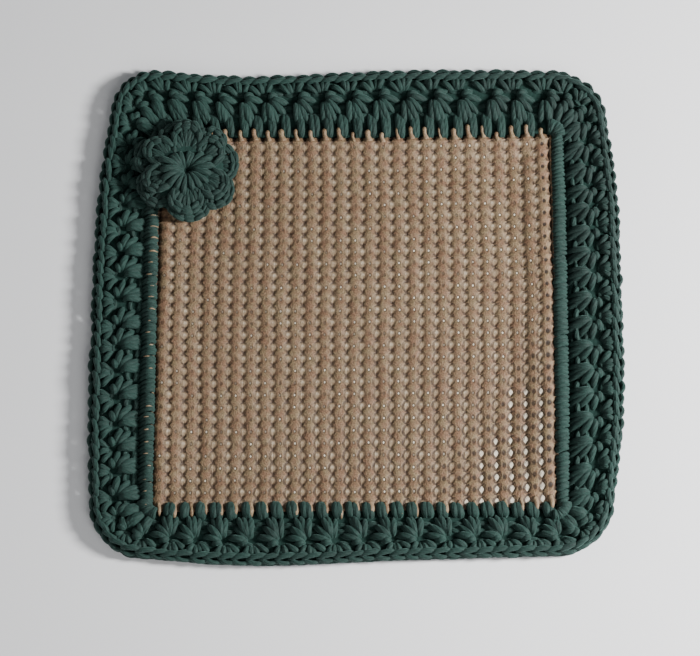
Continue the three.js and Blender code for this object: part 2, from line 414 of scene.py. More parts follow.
def yarn_material(look):
    """Plied yarn, dyed dark green: matt, with fine fibres and a faint sheen that breaks at each ply."""
    material, add, place = new_material("plied_yarn")
    strand = add("UVMap", uv_map="strand")
    split = add("SeparateXYZ", strand).outputs
    along = add("Math DIVIDE", split["X"], look.lay)
    phase = add("Math MULTIPLY_ADD", split["Y"], look.plies, along)
    turns = add("Math MULTIPLY", phase, math.tau)
    wave = add("Math COSINE", turns)
    ply = add("MapRange", wave, *PLY_RANGE)

    hairs = {"Vector": place, "Scale": scale_of(look.fibre), "Detail": 3.0, "Roughness": 0.6}
    fibre = add("TexNoise", hairs)
    cloud = add("TexNoise", {"Vector": place, "Scale": scale_of(look.cloud), "Detail": 2.0})
    tone = add("Attribute", attribute_name="tone").outputs["Fac"]
    blend = add("Math MULTIPLY_ADD", tone, STRAND_TONE, cloud)
    speck = add("Math MULTIPLY_ADD", fibre, FIBRE_TONE, blend)
    share = add("MapRange", speck, *DYE_RANGE)
    dye = add("Mix", {0: share, 6: linear(look.dark), 7: linear(look.light)}, **COLOUR).outputs[2]
    # Painted shade in the seam between two plies
    seam_shade = add("MapRange", ply, 0.0, 1.0, look.groove, 0.0)
    colour = add("Mix", {0: seam_shade, 6: dye, 7: SEAM_SHADE}, blend_type="MULTIPLY", **COLOUR).outputs[2]
    height = add("Math MULTIPLY_ADD", fibre, FIBRE_RELIEF, ply)
    bump = add("Bump", {"Strength": 0.8, "Distance": look.relief * MM, "Height": height})
    shader = add("BsdfPrincipled", {
        "Base Color": colour, "Normal": bump, "Roughness": 0.76, "Specular IOR Level": 0.28,
        "Sheen Weight": 0.15, "Sheen Roughness": 0.5, "Sheen Tint": (0.4, 0.7, 0.62, 1.0),
    })
    add("OutputMaterial", {"Surface": shader})
    return material


def ground_material(look):
    """Yarn deep inside the stitches: the same dye, seen only in the shade between strands."""
    material, add, place = new_material("yarn_in_shade")
    noise = add("TexNoise", {"Vector": place, "Scale": scale_of(SHADE_SPOTS), "Detail": 3.0})
    colour = add("Mix", {0: noise, 6: linear(look.shade), 7: linear(look.dark)}, **COLOUR).outputs[2]
    bump = add("Bump", {"Strength": 0.6, "Distance": 0.4 * MM, "Height": noise})
    shader = add("BsdfPrincipled", {
        "Base Color": colour, "Normal": bump, "Roughness": 0.85, "Specular IOR Level": 0.2,
    })
    add("OutputMaterial", {"Surface": shader})
    return material


# Foam: the mottling that turns it from warm to cool, how far each puff leans that way, its grain, and the
# tones at which it takes pale painted light, brown painted shade, or the film painted as the lit table
PATCH_RANGE = (0.35, 0.7)
PUFF_LEAN = (0.4, -0.15)
GRAIN_RANGE = (0.3, 0.7, 0.72, 1.34)
PAINTED_LIGHT_RANGE = (0.5, 1.0, 0.0, 0.75)
PAINTED_SHADE_RANGE = (0.4, 0.0, 0.0, 0.95)
LIT_FILM_RANGE = (1.1, 1.8)
# Creases, drawn in painted shade, in cells: how far they waver and lean over, how strong they are at the
# far left and the near right, where mottling breaks them, at the tips of a gap, and on its right, and where
# two of them cross. Ranges of x are in metres.
WAVER = (0.3, 0.3, 0.0)
LEAN_RANGE = (-0.02, 0.05, 0.0, -0.2)
TO_NEAR_RIGHT = (5.0, -8.0, 0.0)
STRENGTH_RANGE = (0.0, 0.45, 0.4, 0.95)
BREAK_RANGE = (0.15, 0.55)
TIP_RANGE = (0.85, 0.55, 0.0, 0.9)
LINE_SHADE_RANGE = (0.15, 0.035)
RIGHT_RANGE = (-0.055, -0.03, 0.95, 0.55)
SWING_RANGE = (0.3, -0.3)
CROSS_SPREAD = 0.9
CROSS_SHADE_RANGE = (0.19, 0.07, 0.0, 0.92)
# Pinholes, with a ring of painted shade and a dot of painted light: their width beside their length along a
# rib; how narrow, lit and dark they are from the far left to the near right; where the mesh is pulled open;
# the last rib; and the ends of ring and dot, in widths
OVAL = 0.7
TO_RIGHT = (7.0, -5.0, 0.0)
NARROW_RANGE = (0.36, 0.5, 1.25, 0.9)
LIT_RANGE = (0.2, 1.1)
DIMPLE_SHADE_RANGE = (0.0, 1.0, 0.45, 0.82)
OPEN_RANGE = (0.46, 0.38)
LAST_RIB_RANGE = (0.057, 0.059, 0.0, 0.95)
RING_ENDS = (0.76, 0.32)
DOT_ENDS = (0.38, 0.2)
# How deep a dimple is beside a crease, and how deep both are beside the pits
DENT = 0.9
HOLLOW = -0.5


def foam_material(look):
    """Soft PVC foam over a knitted scrim: matt, mottled and finely pitted, with painted shade in the thin
    creases that outline each gap and cross between the ribs, painted light in the gaps; a pinhole sits in
    each neck of a rib."""
    material, add, place = new_material("foam_coated_mesh")
    cells = add("UVMap", uv_map="cells")
    tone = add("Attribute", attribute_name="tone").outputs["Fac"]
    patches = {"Vector": place, "Scale": scale_of(look.mottle), "Detail": 4.0, "Roughness": 0.65}
    mottle = add("TexNoise", patches)
    pits = add("TexNoise", {"Vector": place, "Scale": scale_of(look.pit), "Detail": 2.0})

    # Tan foam: one leaning for each puff, whose middle lies half a cell along from a pinhole, and mottling
    moved = add("VectorMath ADD", cells, (0.0, 0.5, 0.0))
    puff = add("VectorMath FLOOR", moved)
    each = add("TexWhiteNoise", {"Vector": puff}, noise_dimensions="2D")
    patch = add("MapRange", mottle, *PATCH_RANGE, **SOFT)
    lean = add("Math MULTIPLY_ADD", each, *PUFF_LEAN)
    blend = add("Math ADD", lean, patch, use_clamp=True)
    tan = add("Mix", {0: blend, 6: linear(look.warm), 7: linear(look.cool)}, **COLOUR).outputs[2]
    grain = add("MapRange", pits, *GRAIN_RANGE)
    tan = add("VectorMath SCALE", {0: tan, "Scale": grain})
    # Painted light on the crests and in closed gaps, painted shade in deep places, and the lit table
    # painted on a film
    for ends, colour in ((PAINTED_LIGHT_RANGE, look.pale), (PAINTED_SHADE_RANGE, look.painted_shade), (LIT_FILM_RANGE, look.lit_film)):
        share = add("MapRange", tone, *ends, **SOFT)
        tan = add("Mix", {0: share, 6: tan, 7: linear(colour)}, **COLOUR).outputs[2]

    # Creases in painted shade: two waving lines cross between the ribs and open round each gap; they lean
    # to the right
    shake = add("VectorMath SUBTRACT", mottle.outputs["Color"], (0.5, 0.5, 0.5))
    shake = add("VectorMath MULTIPLY_ADD", shake, WAVER, cells)
    spot = add("SeparateXYZ", shake).outputs
    row = add("Math FRACT", spot["Y"])
    where = add("SeparateXYZ", place).outputs["X"]
    tilt = add("MapRange", where, *LEAN_RANGE, **SOFT)
    off = add("Math SUBTRACT", row, 0.5)
    column = add("Math MULTIPLY_ADD", off, tilt, spot["X"])
    beside = add("Math PINGPONG", column, 0.5)
    turn = add("Math MULTIPLY", row, math.pi)
    lens = add("Math SINE", turn)
    width = add("Math MULTIPLY", lens, look.lens)
    away = add("Math SUBTRACT", beside, width)
    away = add("Math ABSOLUTE", away)
    low = add("VectorMath DOT_PRODUCT", place, TO_NEAR_RIGHT).outputs["Value"]
    drawn = add("MapRange", low, *STRENGTH_RANGE, **SOFT)
    faint = add("MapRange", mottle, *BREAK_RANGE, 0.0, drawn)
    tips = add("MapRange", lens, *TIP_RANGE, **SOFT)
    depth = add("Math MAXIMUM", faint, tips)
    line_shade = add("MapRange", away, *LINE_SHADE_RANGE, 0.0, depth, **SOFT)
    round_gap = add("Math MULTIPLY", column, math.tau)
    swing = add("Math SINE", round_gap)
    right = add("MapRange", where, *RIGHT_RANGE, **SOFT)
    left = add("MapRange", swing, *SWING_RANGE, right, **SOFT)
    line_shade = add("Math MULTIPLY", line_shade, left)
    cross = add("Math MULTIPLY_ADD", width, CROSS_SPREAD, beside)
    knot = add("MapRange", cross, *CROSS_SHADE_RANGE, **SOFT)
    crease_shade = add("Math MAXIMUM", line_shade, knot)
    # Painted shade in the creases
    tan = add("Mix", {0: crease_shade, 6: tan, 7: linear(look.painted_shade)}, **COLOUR).outputs[2]

    # Pinholes: a ring of painted shade round a dot of painted light, mostly away from the far left corner;
    # the dot is left out where the mesh is pulled open and in the last rib
    part = add("VectorMath FRACTION", cells)
    part = add("VectorMath SUBTRACT", part, (0.5, 0.5, 0.0))
    cell_mm = (2 * HALF_MM / look.ribs, OVAL * look.course, 0.0)
    part = add("VectorMath MULTIPLY", part, cell_mm)
    far = add("VectorMath LENGTH", part).outputs["Value"]
    cell = add("VectorMath FLOOR", cells)
    chance = add("TexWhiteNoise", {"Vector": cell}, noise_dimensions="2D")
    side = add("VectorMath DOT_PRODUCT", place, TO_RIGHT).outputs["Value"]
    odds = add("Math ADD", chance, side)
    narrow = add("MapRange", side, *NARROW_RANGE, **SOFT)
    far = add("Math MULTIPLY", far, narrow)
    lit = add("MapRange", odds, *LIT_RANGE, **SOFT)
    last = add("MapRange", where, *LAST_RIB_RANGE, **SOFT)
    dark = add("MapRange", odds, *DIMPLE_SHADE_RANGE)
    dark = add("Math MAXIMUM", dark, last)
    ring = add("MapRange", far, *(look.pinhole * end for end in RING_ENDS), 0.0, dark, **SOFT)
    # Painted shade in the dimple ring
    tan = add("Mix", {0: ring, 6: tan, 7: linear(look.dimple)}, **COLOUR).outputs[2]
    dot = add("MapRange", far, *(look.pinhole * end for end in DOT_ENDS), **SOFT)
    dot_light = add("MapRange", side, *OPEN_RANGE, 0.0, lit, **SOFT)
    other_rib = add("Math LESS_THAN", last, 0.5)
    dot_light = add("Math MULTIPLY", dot_light, other_rib)
    pinhole_light = add("Math MULTIPLY", dot, dot_light)
    # Painted light in the pinhole's dot
    colour = add("Mix", {0: pinhole_light, 6: tan, 7: linear(look.lit_film)}, **COLOUR).outputs[2]

    dent = add("Math MULTIPLY", ring, DENT)
    hollow = add("Math MAXIMUM", crease_shade, dent)
    relief = add("Math MULTIPLY_ADD", hollow, HOLLOW, pits)
    relief = add("Math ADD", relief, mottle)
    bump = add("Bump", {"Strength": 0.9, "Distance": 0.3 * MM, "Height": relief})
    shader = add("BsdfPrincipled", {
        "Base Color": colour, "Normal": bump, "Roughness": 0.6, "Specular IOR Level": 0.3,
    })
    add("OutputMaterial", {"Surface": shader})
    return material


FLOOR_SPOTS = 250.0


def floor_material(look):
    """Plain pale painted floor, matt: its tone varies a little over about 25 cm."""
    material, add, place = new_material("pale_floor")
    noise = add("TexNoise", {"Vector": place, "Scale": scale_of(FLOOR_SPOTS), "Detail": 2.0})
    colour = add("Mix", {0: noise, 6: linear(look.floor), 7: linear(look.floor_light)}, **COLOUR).outputs[2]
    shader = add("BsdfPrincipled", {"Base Color": colour, "Roughness": 0.9, "Specular IOR Level": 0.2})
    add("OutputMaterial", {"Surface": shader})
    return material


def text(name, description, default):
    """A property that holds a hex colour."""
    return StringProperty(name=name, description=description, default=default)


def decimal(name, description, default, **more):
    """A property that holds a number."""
    return FloatProperty(name=name, description=description, default=default, **more)


def length_mm(name, description, default):
    """A property that holds a length in millimetres."""
    return decimal(name, description + ", in millimetres", default, min=0.0)


class GripperYarn(bpy.types.PropertyGroup):
    """Yarn of the border and the flower."""

    radius: length_mm("Strand radius", "Half the width of one strand in a stitch", 0.78)
    plies: IntProperty(name="Plies", description="Plies twisted into the yarn", default=6, min=2, max=8)
    lay: length_mm("Twist", "Length of yarn in which a ply moves on by its own place", 2.7)
    fibre: length_mm("Fibre", "Width of the finest hairs drawn", 0.5)
    cloud: length_mm("Cloud", "Distance over which the dye varies", 14.0)
    relief: length_mm("Ply relief", "Depth between two plies", 0.09)
    groove: decimal("Groove", "Shade between two plies", 0.34, min=0.0, max=1.0)
    dark: text("Dark dye", "sRGB colour of the darkest strands", "#0c1f1b")
    light: text("Light dye", "sRGB colour of the lightest strands", "#15312b")
    shade: text("Shade", "sRGB colour inside the stitches", "#19342e")


class GripperMesh(bpy.types.PropertyGroup):
    """Non-slip mesh."""

    ribs: IntProperty(name="Ribs", description="Ribs across the mesh", default=27, min=4)
    courses: IntProperty(name="Courses", description="Rows of gaps along a rib", default=31, min=4)
    course: length_mm("Course", "Distance between two rows of gaps", 3.985)
    first_gap: decimal("First gap", "Place of the nearest row, in millimetres from the middle", -61.1)
    pinhole: length_mm("Pinhole", "Width of the dimple in each neck of a rib", 1.1)
    lens: decimal("Gap outline", "Half width of a gap's outline in cells", 0.22)
    mottle: length_mm("Mottle", "Distance over which the foam's colour varies", 2.4)
    pit: length_mm("Pits", "Width of the pits in the foam", 0.5)
    warm: text("Warm foam", "sRGB colour of the browner foam", "#654c39")
    cool: text("Cool foam", "sRGB colour of the greyer foam", "#6a5a42")
    # Painted light: pale tan on the crests and in gaps closed by foam, where the lit table would show
    # through
    pale: text("Thin foam", "sRGB colour of the foam that closes a gap", "#84725b")
    # Painted light: the lit table seen through the film of an open gap and through a pinhole
    lit_film: text("Film", "sRGB colour of the film that closes an open gap, and of a lit pinhole", "#c4bba8")
    # Painted shade in the creases and other deep places
    painted_shade: text("Creases", "sRGB colour of the creases", "#34261b")
    # Painted shade in the dimples along the ribs
    dimple: text("Dimples", "sRGB colour of the dimples along the ribs", "#1e140d")


class GripperStage(bpy.types.PropertyGroup):
    """Floor and camera."""

    tilt: decimal("Tilt", "Camera's lean from straight above, in degrees", 18.5)
    turn: decimal("Turn", "Camera's turn round the mat, in degrees", 5.0)
    roll: decimal("Roll", "Camera's roll, in degrees", 0.85)
    distance: decimal("Distance", "Camera to mat", 0.717, unit="LENGTH")
    lens: decimal("Lens", "Focal length", 116.3, unit="CAMERA")
    floor: text("Floor", "sRGB colour of the floor", "#d9d9da")
    floor_light: text("Floor, light", "sRGB colour of the floor's lighter patches", "#dededf")


class PieceMaker:
    """What the operators share: each can be undone."""

    bl_options = {"REGISTER", "UNDO"}


# Knots of each kind of stitch, as (along, across, height): along in stitches round the border from the
# stitch's own place, across as a share from opening to outline, height in millimetres above the table.

# A fan of strands from the eye of a star to its tips. They rise, arch over and end at a tip's own height:
# shares of the way, and all heights there but the last. radius is in strand radii.
Fan = namedtuple("Fan", "eye tips shares heights radius rings sides")
FAN_GIRTH = (0.6, 0.85, 1.0, 1.12, 1.15, 1.0, 0.5)
EYE_RIM = 1.25
FIRST_EYE = 0.6
EYE_WOBBLE = 0.08
# The strands of a star end under their neighbours
RAYS = Fan(
    eye=(0.0, 0.605),
    tips=(
        (-0.92, 0.66, 2.8), (-1.66, 0.535, 2.6), (-1.4, 0.345, 2.5),
        (-1.0, 0.19, 2.8), (-0.6, 0.16, 2.8), (-0.02, 0.19, 2.6),
    ),
    shares=(0.0, 0.1, 0.26, 0.5, 0.78, 1.0),
    heights=(1.6, 3.4, 4.6, 4.4, 3.6),
    radius=1.2, rings=13, sides=10,
)
# The legs of the last round stand in the eye and lean on to the edge chain
LEGS = Fan(
    eye=(0.04, 0.625),
    tips=((1.24, 0.81, 3.2), (0.56, 0.86, 3.2), (0.14, 0.87, 3.2), (-0.44, 0.86, 3.2)),
    shares=(0.0, 0.2, 0.5, 0.8, 1.0),
    heights=(1.6, 3.5, 4.5, 4.3),
    radius=1.03, rings=10, sides=8,
)
# The stars of the left side end further out, beside its wide roll; left and right ones slope down inward
LEFT_ROOM = {LEFT: 0.1}
STAR_DROP = {LEFT: 1.5, RIGHT: 3.0}
STAR_DROP_POWER = 1.5

# The chain along the outline, at its front, at its back and underneath: width, and knots
EDGE_CHAIN = (
    (1.1, (
        (-0.68, 0.918, 3.4), (-0.42, 0.908, 4.4), (0.0, 0.884, 4.85),
        (0.42, 0.866, 4.7), (0.68, 0.868, 4.0), (0.8, 0.885, 3.2),
    )),
    (0.85, (
        (-0.62, 0.915, 3.0), (-0.42, 0.95, 3.4), (0.0, 0.985, 3.3), (0.42, 0.96, 2.9), (0.62, 0.92, 2.3),
    )),
    (0.95, (
        (-0.6, 0.925, 1.9), (-0.25, 0.965, 1.9), (0.05, 0.972, 1.8), (0.35, 0.962, 1.5), (0.6, 0.925, 1.2),
    )),
)
EDGE_WOBBLE = 0.07

# Chains that lie half hidden under the stars: the tops of the first and of the star round
HIDDEN_CHAINS = (
    ((-0.6, 0.35, 2.0), (-0.2, 0.315, 2.7), (0.25, 0.32, 2.7), (0.6, 0.36, 2.0)),
    ((-0.6, 0.42, 2.2), (-0.25, 0.455, 2.9), (0.25, 0.45, 2.9), (0.6, 0.41, 2.2)),
    ((-0.6, 0.72, 2.2), (-0.2, 0.675, 3.0), (0.25, 0.68, 3.0), (0.6, 0.73, 2.2)),
    ((-0.6, 0.78, 2.2), (-0.2, 0.8, 3.0), (0.25, 0.795, 3.0), (0.6, 0.77, 2.2)),
)
HIDDEN_WOBBLE = 0.2

# A stitch of the first round over the far and near edge: two thick legs that meet in the mesh
WRAP_LEGS = np.array([(0.28, 0.24, 0.18, 0.13, 0.09, 0.07), (0.08, 0.04, -0.01, -0.05, -0.07, -0.07)])
WRAP_ACROSS = np.array([0.37, 0.31, 0.22, 0.13, 0.05, 0.01])
WRAP_HEIGHT = np.array([1.8, 2.9, 3.4, 3.3, 2.8, 2.1])
WRAP_GIRTH = (0.7, 1.05, 1.15, 1.15, 1.1, 0.95, 0.7)
WRAP_SHIFT = 0.25
WRAP_WOBBLE = 0.9
WRAP_RADIUS = 1.12
# On each side: the mesh's edge, the shares across that the legs span, their width, and their skew
Wrap = namedtuple("Wrap", "edge foot top width skew")
WRAP_SIDES = {FAR: Wrap(HALF_MM, -0.02, 0.35, 1.12, 0.0), NEAR: Wrap(-HALF_MM, -0.1, 0.16, 1.3, -0.0007)}

# The first round over the left and right edge and round the corners: close turns over the edge
ROLL = np.array([
    (0.14, 0.235, 2.6), (0.12, 0.222, 3.7), (0.06, 0.175, 4.6), (-0.02, 0.115, 4.8),
    (-0.08, 0.065, 4.2), (-0.12, 0.045, 3.0), (-0.12, 0.055, 1.7), (-0.08, 0.09, 0.9),
])
ROLL_WOBBLE = 0.8
ROLL_RINGS = 13
ROLL_TURNS = 3
ROLL_RADIUS = 0.95
# On each side: how much wider the turns are, how far they lie inward, how high they are, how far their
# outer part slopes down, and how far they move outward with each mm from the near end
Roll = namedtuple("Roll", "width inward height slope skew")
ROLL_SIDES = {LEFT: Roll(1.05, 0.0, 1.0, 1.7, 0.00093), RIGHT: Roll(0.92, 0.04, 0.8, 0.0, 0.0)}
ROLL_SLOPE_FROM, ROLL_SLOPE_OVER = 0.1, 0.12
ROLL_NEAR_END = -52
# Round a corner: turns to a stitch, and how much of a stitch is left free at both ends
BEND_RADIUS = 0.9
BEND_MARGIN = 0.2
BEND_TURNS = 2

# Bumps of the underside: the rows across, and one bump
BACK_ROWS = (0.12, 0.24, 0.36, 0.48, 0.6, 0.72, 0.84, 0.94)
BACK_BUMP = ((-0.56, 0.0, 1.6), (-0.3, 0.012, 1.0), (0.0, 0.016, 0.86), (0.3, 0.012, 1.0), (0.56, 0.0, 1.6))
BACK_WOBBLE = 0.4

# Unevenness of hand work, along, across and in height: of a stitch, and of a strand of a fan
LAID_SPREAD = (0.045, 0.006, 0.1)
FAN_SPREAD = (0.07, 0.012, 0.25)
# The outer rounds get painted light and shade: their tone falls by one over this many mm of x, painted
# lighter at the left and darker at the right, and more so at the far side
SIDE_LIGHT_MM = 80.0
SIDE_LIGHT_NEAR = 0.3
SIDE_LIGHT_FROM, SIDE_LIGHT_OVER = -20.0, 50.0


def laid(stitches, table, rng, wobble=1.0, across=0.0):
    """Rows of knots, one row for each stitch number, with the unevenness of hand work."""
    places = (stitches[:, None], across, 0.0)
    return on_band(*(
        column + place + wobble * spread * rng.standard_normal((len(stitches), 1))
        for column, place, spread in zip(np.array(table).T, places, LAID_SPREAD)
    ))


def fans(eyes, fan, rng):
    """Rows of knots from the rim of the hollow eye of each star to its tips."""
    rows = []
    eye_along, eye_across = fan.eye
    for tip_along, tip_across, tip_height in fan.tips:
        uneven = [spread * rng.standard_normal((len(eyes), 1)) for spread in FAN_SPREAD]
        length = math.hypot((tip_along - eye_along) * STITCH_MM, (tip_across - eye_across) * BAND_MM)
        share = EYE_RIM / length + (1 - EYE_RIM / length) * np.array(fan.shares)
        along = eyes[:, None] + eye_along + (tip_along - eye_along + uneven[0]) * share
        across = eye_across + (tip_across - eye_across + uneven[1]) * share
        rise = np.array([*fan.heights, tip_height]) + uneven[2] * np.sin(np.pi * share)
        inward = np.clip((eye_across - across) / eye_across, 0, 1)
        across = across + on_sides(along, LEFT_ROOM) * inward
        rise = rise - on_sides(along, STAR_DROP) * inward**STAR_DROP_POWER
        rows.append(on_band(along, across, rise))
    return np.concatenate(rows)


def paint_side_light(shape):
    """The shape with painted light and shade on the outer rounds: lighter at the left, darker at the right.
    """
    x, y = (shape.points[:, :2] / MM).T
    # Painted light at the left and painted shade at the right of the border
    side_light = x / SIDE_LIGHT_MM * (SIDE_LIGHT_NEAR + ease((y - SIDE_LIGHT_FROM) / SIDE_LIGHT_OVER))
    return shape._replace(tone=shape.tone - side_light)


def yarn_piece(name, node, shapes):
    """A piece of plied yarn that stands for a node."""
    piece = piece_from(name, shapes, "strand")
    settle(piece, node, bpy.data.materials["plied_yarn"])
    return piece


class GRIPPER_OT_ground(PieceMaker, bpy.types.Operator):
    """Lays the worked fabric that lies under the strands of the border"""

    bl_idname = "gripper.ground"
    bl_label = "Border ground"

    # Shares across and heights in mm, along the underside and back over the top
    section = (
        (-0.04, 1.0), (0.3, 0.9), (0.6, 0.9), (0.88, 0.9), (0.93, 1.3), (0.91, 2.4), (0.82, 3.5),
        (0.7, 3.2), (0.605, 2.8), (0.5, 3.2), (0.36, 2.9), (0.2, 2.4), (-0.04, 1.5),
    )
    # The top slopes down inward at the left and more at the right: from here in, and over this much
    sides = {LEFT: 1.0, RIGHT: 1.9}
    slope_from, slope_over, slope = 0.6, 0.4, 0.7
    top_from = 1.6
    outline_share = 0.975
    on_top = (
        "first_round", "hidden_chains", "star_stitches", "last_round_legs", "edge_chain", "underside_bumps",
    )

    def execute(self, context):
        stitches = np.arange(0, STITCHES, 0.5)[:, None]
        across, height = np.array(self.section).T
        inward = np.clip((self.slope_from - across) / self.slope_over, 0, 1) * (height > self.top_from)
        drop = self.slope * on_sides(stitches, self.sides) * inward
        piece = mapped_grid("border_ground", on_band(stitches, across, height - drop))
        settle(piece, "crochet_border", bpy.data.materials["yarn_in_shade"])
        return {"FINISHED"}


class GRIPPER_OT_first_round(PieceMaker, bpy.types.Operator):
    """Wraps the first round of stitches over the edge of the mesh"""

    bl_idname = "gripper.first_round"
    bl_label = "First round"
    seed = 11

    def execute(self, context):
        yarn = context.scene.gripper_yarn
        mesh = context.scene.gripper_mesh
        rng = np.random.default_rng(self.seed)
        shapes = self.wraps(yarn, mesh, rng)
        shapes += self.rolls(yarn, mesh, rng)
        shapes += self.bends(yarn, rng)
        yarn_piece("first_round", "crochet_border", shapes)

        stitches = np.arange(STITCHES) + HIDDEN_WOBBLE * rng.standard_normal(STITCHES)
        chains = [strands(laid(stitches, chain, rng), yarn.radius, rng, rings=8) for chain in HIDDEN_CHAINS]
        yarn_piece("hidden_chains", "crochet_border", chains)
        return {"FINISHED"}

    def wraps(self, yarn, mesh, rng):
        """Two legs through every gap along the far and near edge."""
        gaps = -HALF_MM + np.arange(1, mesh.ribs) * 2 * HALF_MM / mesh.ribs
        shapes = []
        for side, wrap in WRAP_SIDES.items():
            stitches = stitch_at(side, wander(gaps, wrap.edge)[0]) + WRAP_SHIFT
            reach = (wrap.top - wrap.foot) / (WRAP_ACROSS[0] - WRAP_ACROSS[-1])
            across = wrap.foot + (WRAP_ACROSS - WRAP_ACROSS[-1]) * reach
            radius = yarn.radius * WRAP_RADIUS * wrap.width
            for leg in WRAP_LEGS:
                table = np.column_stack([leg * wrap.width, across, WRAP_HEIGHT])
                knots = laid(stitches, table, rng, WRAP_WOBBLE, wrap.skew * gaps[:, None])
                shapes.append(strands(knots, radius, rng, rings=12, sides=10, girth=WRAP_GIRTH))
        return shapes

    def rolls(self, yarn, mesh, rng):
        """Close turns along the left and right edge."""
        turns = round(2 * HALF_MM / mesh.course * ROLL_TURNS)
        courses = -HALF_MM + (np.arange(turns) + 0.5) * 2 * HALF_MM / turns
        shapes = []
        along, across, height = ROLL.T
        slope = ease((across - ROLL_SLOPE_FROM) / ROLL_SLOPE_OVER)
        for side, roll in ROLL_SIDES.items():
            coil = (along, across * roll.width - roll.inward, height * roll.height - roll.slope * slope)
            out = roll.skew * (courses[:, None] - ROLL_NEAR_END)
            knots = laid(stitch_at(side, courses), np.column_stack(coil), rng, ROLL_WOBBLE, out)
            shapes.append(strands(knots, yarn.radius * ROLL_RADIUS, rng, rings=ROLL_RINGS))
        return shapes

    def bends(self, yarn, rng):
        """Close turns round the four corners."""
        shapes = []
        for number, corner in enumerate(CORNERS):
            first = side_span(number)[0] - corner.stitches
            span = np.linspace(BEND_MARGIN, corner.stitches - BEND_MARGIN, corner.stitches * BEND_TURNS)
            knots = laid(first + span, ROLL, rng, ROLL_WOBBLE)
            shapes.append(strands(knots, yarn.radius * BEND_RADIUS, rng, rings=ROLL_RINGS))
        return shapes


class GRIPPER_OT_stars(PieceMaker, bpy.types.Operator):
    """Works the round of star stitches and the legs of the last round"""

    bl_idname = "gripper.stars"
    bl_label = "Star stitches"
    seed = 23

    def execute(self, context):
        yarn = context.scene.gripper_yarn
        rng = np.random.default_rng(self.seed)
        stars = STITCHES // STITCHES_PER_STAR
        eyes = np.arange(FIRST_EYE, STITCHES, STITCHES_PER_STAR) + EYE_WOBBLE * rng.standard_normal(stars)
        for name, fan in (("star_stitches", RAYS), ("last_round_legs", LEGS)):
            knots = fans(eyes, fan, rng)
            radius = yarn.radius * fan.radius
            shape = strands(knots, radius, rng, rings=fan.rings, sides=fan.sides, girth=FAN_GIRTH)
            # The stars and legs get painted light at the left and painted shade at the right
            yarn_piece(name, "crochet_border", [paint_side_light(shape)])
        return {"FINISHED"}


class GRIPPER_OT_edge(PieceMaker, bpy.types.Operator):
    """Works the chain along the outline"""

    bl_idname = "gripper.edge"
    bl_label = "Edge chain"
    seed = 37

    def execute(self, context):
        yarn = context.scene.gripper_yarn
        rng = np.random.default_rng(self.seed)
        stitches = np.arange(STITCHES) + EDGE_WOBBLE * rng.standard_normal(STITCHES)
        shapes = [
            # The edge chain gets painted light at the left and painted shade at the right
            paint_side_light(strands(laid(stitches, table, rng), yarn.radius * width, rng, rings=12, sides=10))
            for width, table in EDGE_CHAIN
        ]
        yarn_piece("edge_chain", "crochet_border", shapes)
        return {"FINISHED"}


class GRIPPER_OT_back(PieceMaker, bpy.types.Operator):
    """Works the bumps that show on the underside"""

    bl_idname = "gripper.back"
    bl_label = "Underside"
    seed = 41

    def execute(self, context):
        yarn = context.scene.gripper_yarn
        rng = np.random.default_rng(self.seed)
        shapes = []
        for row, across in enumerate(BACK_ROWS):
            stitches = np.arange(STITCHES) + 0.5 * (row % 2)
            knots = laid(stitches, BACK_BUMP, rng, BACK_WOBBLE, across)
            shapes.append(strands(knots, yarn.radius, rng, rings=8, sides=6))
        yarn_piece("underside_bumps", "crochet_border", shapes)
        return {"FINISHED"}


# Flower, in millimetres: its middle, the heights that it lies on, and how soon it settles on the mesh

FLOWER_X, FLOWER_Y = -55.8, 48.2
FLOWER_OVER_MESH = 2.85
FLOWER_OVER_BORDER = 5.35
FLOWER_SETTLE = 12.0

# Angles in degrees: a petal's middle, and how far it spreads to each side
Petal = namedtuple("Petal", "angle reach spread")
FRONT_PETALS = (
    Petal(90, 15.0, 27), Petal(147, 14.4, 27), Petal(204, 13.6, 28),
    Petal(272, 14.6, 30), Petal(332, 14.0, 29), Petal(38, 13.8, 26),
)
BACK_PETALS = (
    Petal(101, 16.2, 29), Petal(158, 16.9, 28), Petal(215, 16.3, 29), Petal(274, 16.4, 29),
    Petal(325, 16.3, 27), Petal(18, 16.0, 29), Petal(52, 16.3, 22),
)
Layer = namedtuple("Layer", "petals rise root")
LAYERS = (Layer(BACK_PETALS, 0.7, 11.5), Layer(FRONT_PETALS, 2.9, 7.2))
PETAL_RADIUS = 1.08
PETAL_TONE = (0.5, -0.25)

# The outline of a petal, as a power of a half wave, and the shares at its two ends where it starts
RIM_POWER = 0.5
RIM_ENDS = (0.02, 0.98)
# Posts of a petal, from root to rim: how far each knot leans outward, its share of the way and its height,
# and how uneven they are in place and in height
POSTS = 8
POST_LEAN = np.array([0.45, 0.65, 0.85, 0.95, 1.0])
POST_SHARE = np.array([0.0, 0.25, 0.55, 0.8, 1.0])
POST_HEIGHT = np.array([-1.2, 0.3, 1.0, 0.9, -0.2])
POST_START = 2.5
POST_END = 0.4
POST_SPREAD = (0.02, 0.15)
# Chain round a petal's rim: place of the knots in a link, their bulge and height; the shift and the lift of
# its inner and its outer strand; and how uneven they are in height and outward
LINKS = 5
LINK_PLACE = np.array([-0.6, -0.3, 0.05, 0.42, 0.72])
LINK_BULGE = np.array([-0.1, 0.7, 1.0, 0.75, -0.1])
LINK_HEIGHT = np.array([-0.1, 0.9, 1.3, 1.0, 0.0])
LINK_STRANDS = ((-0.75, 0.3), (0.55, 0.0))
LINK_SPREAD = (0.12, 0.2)
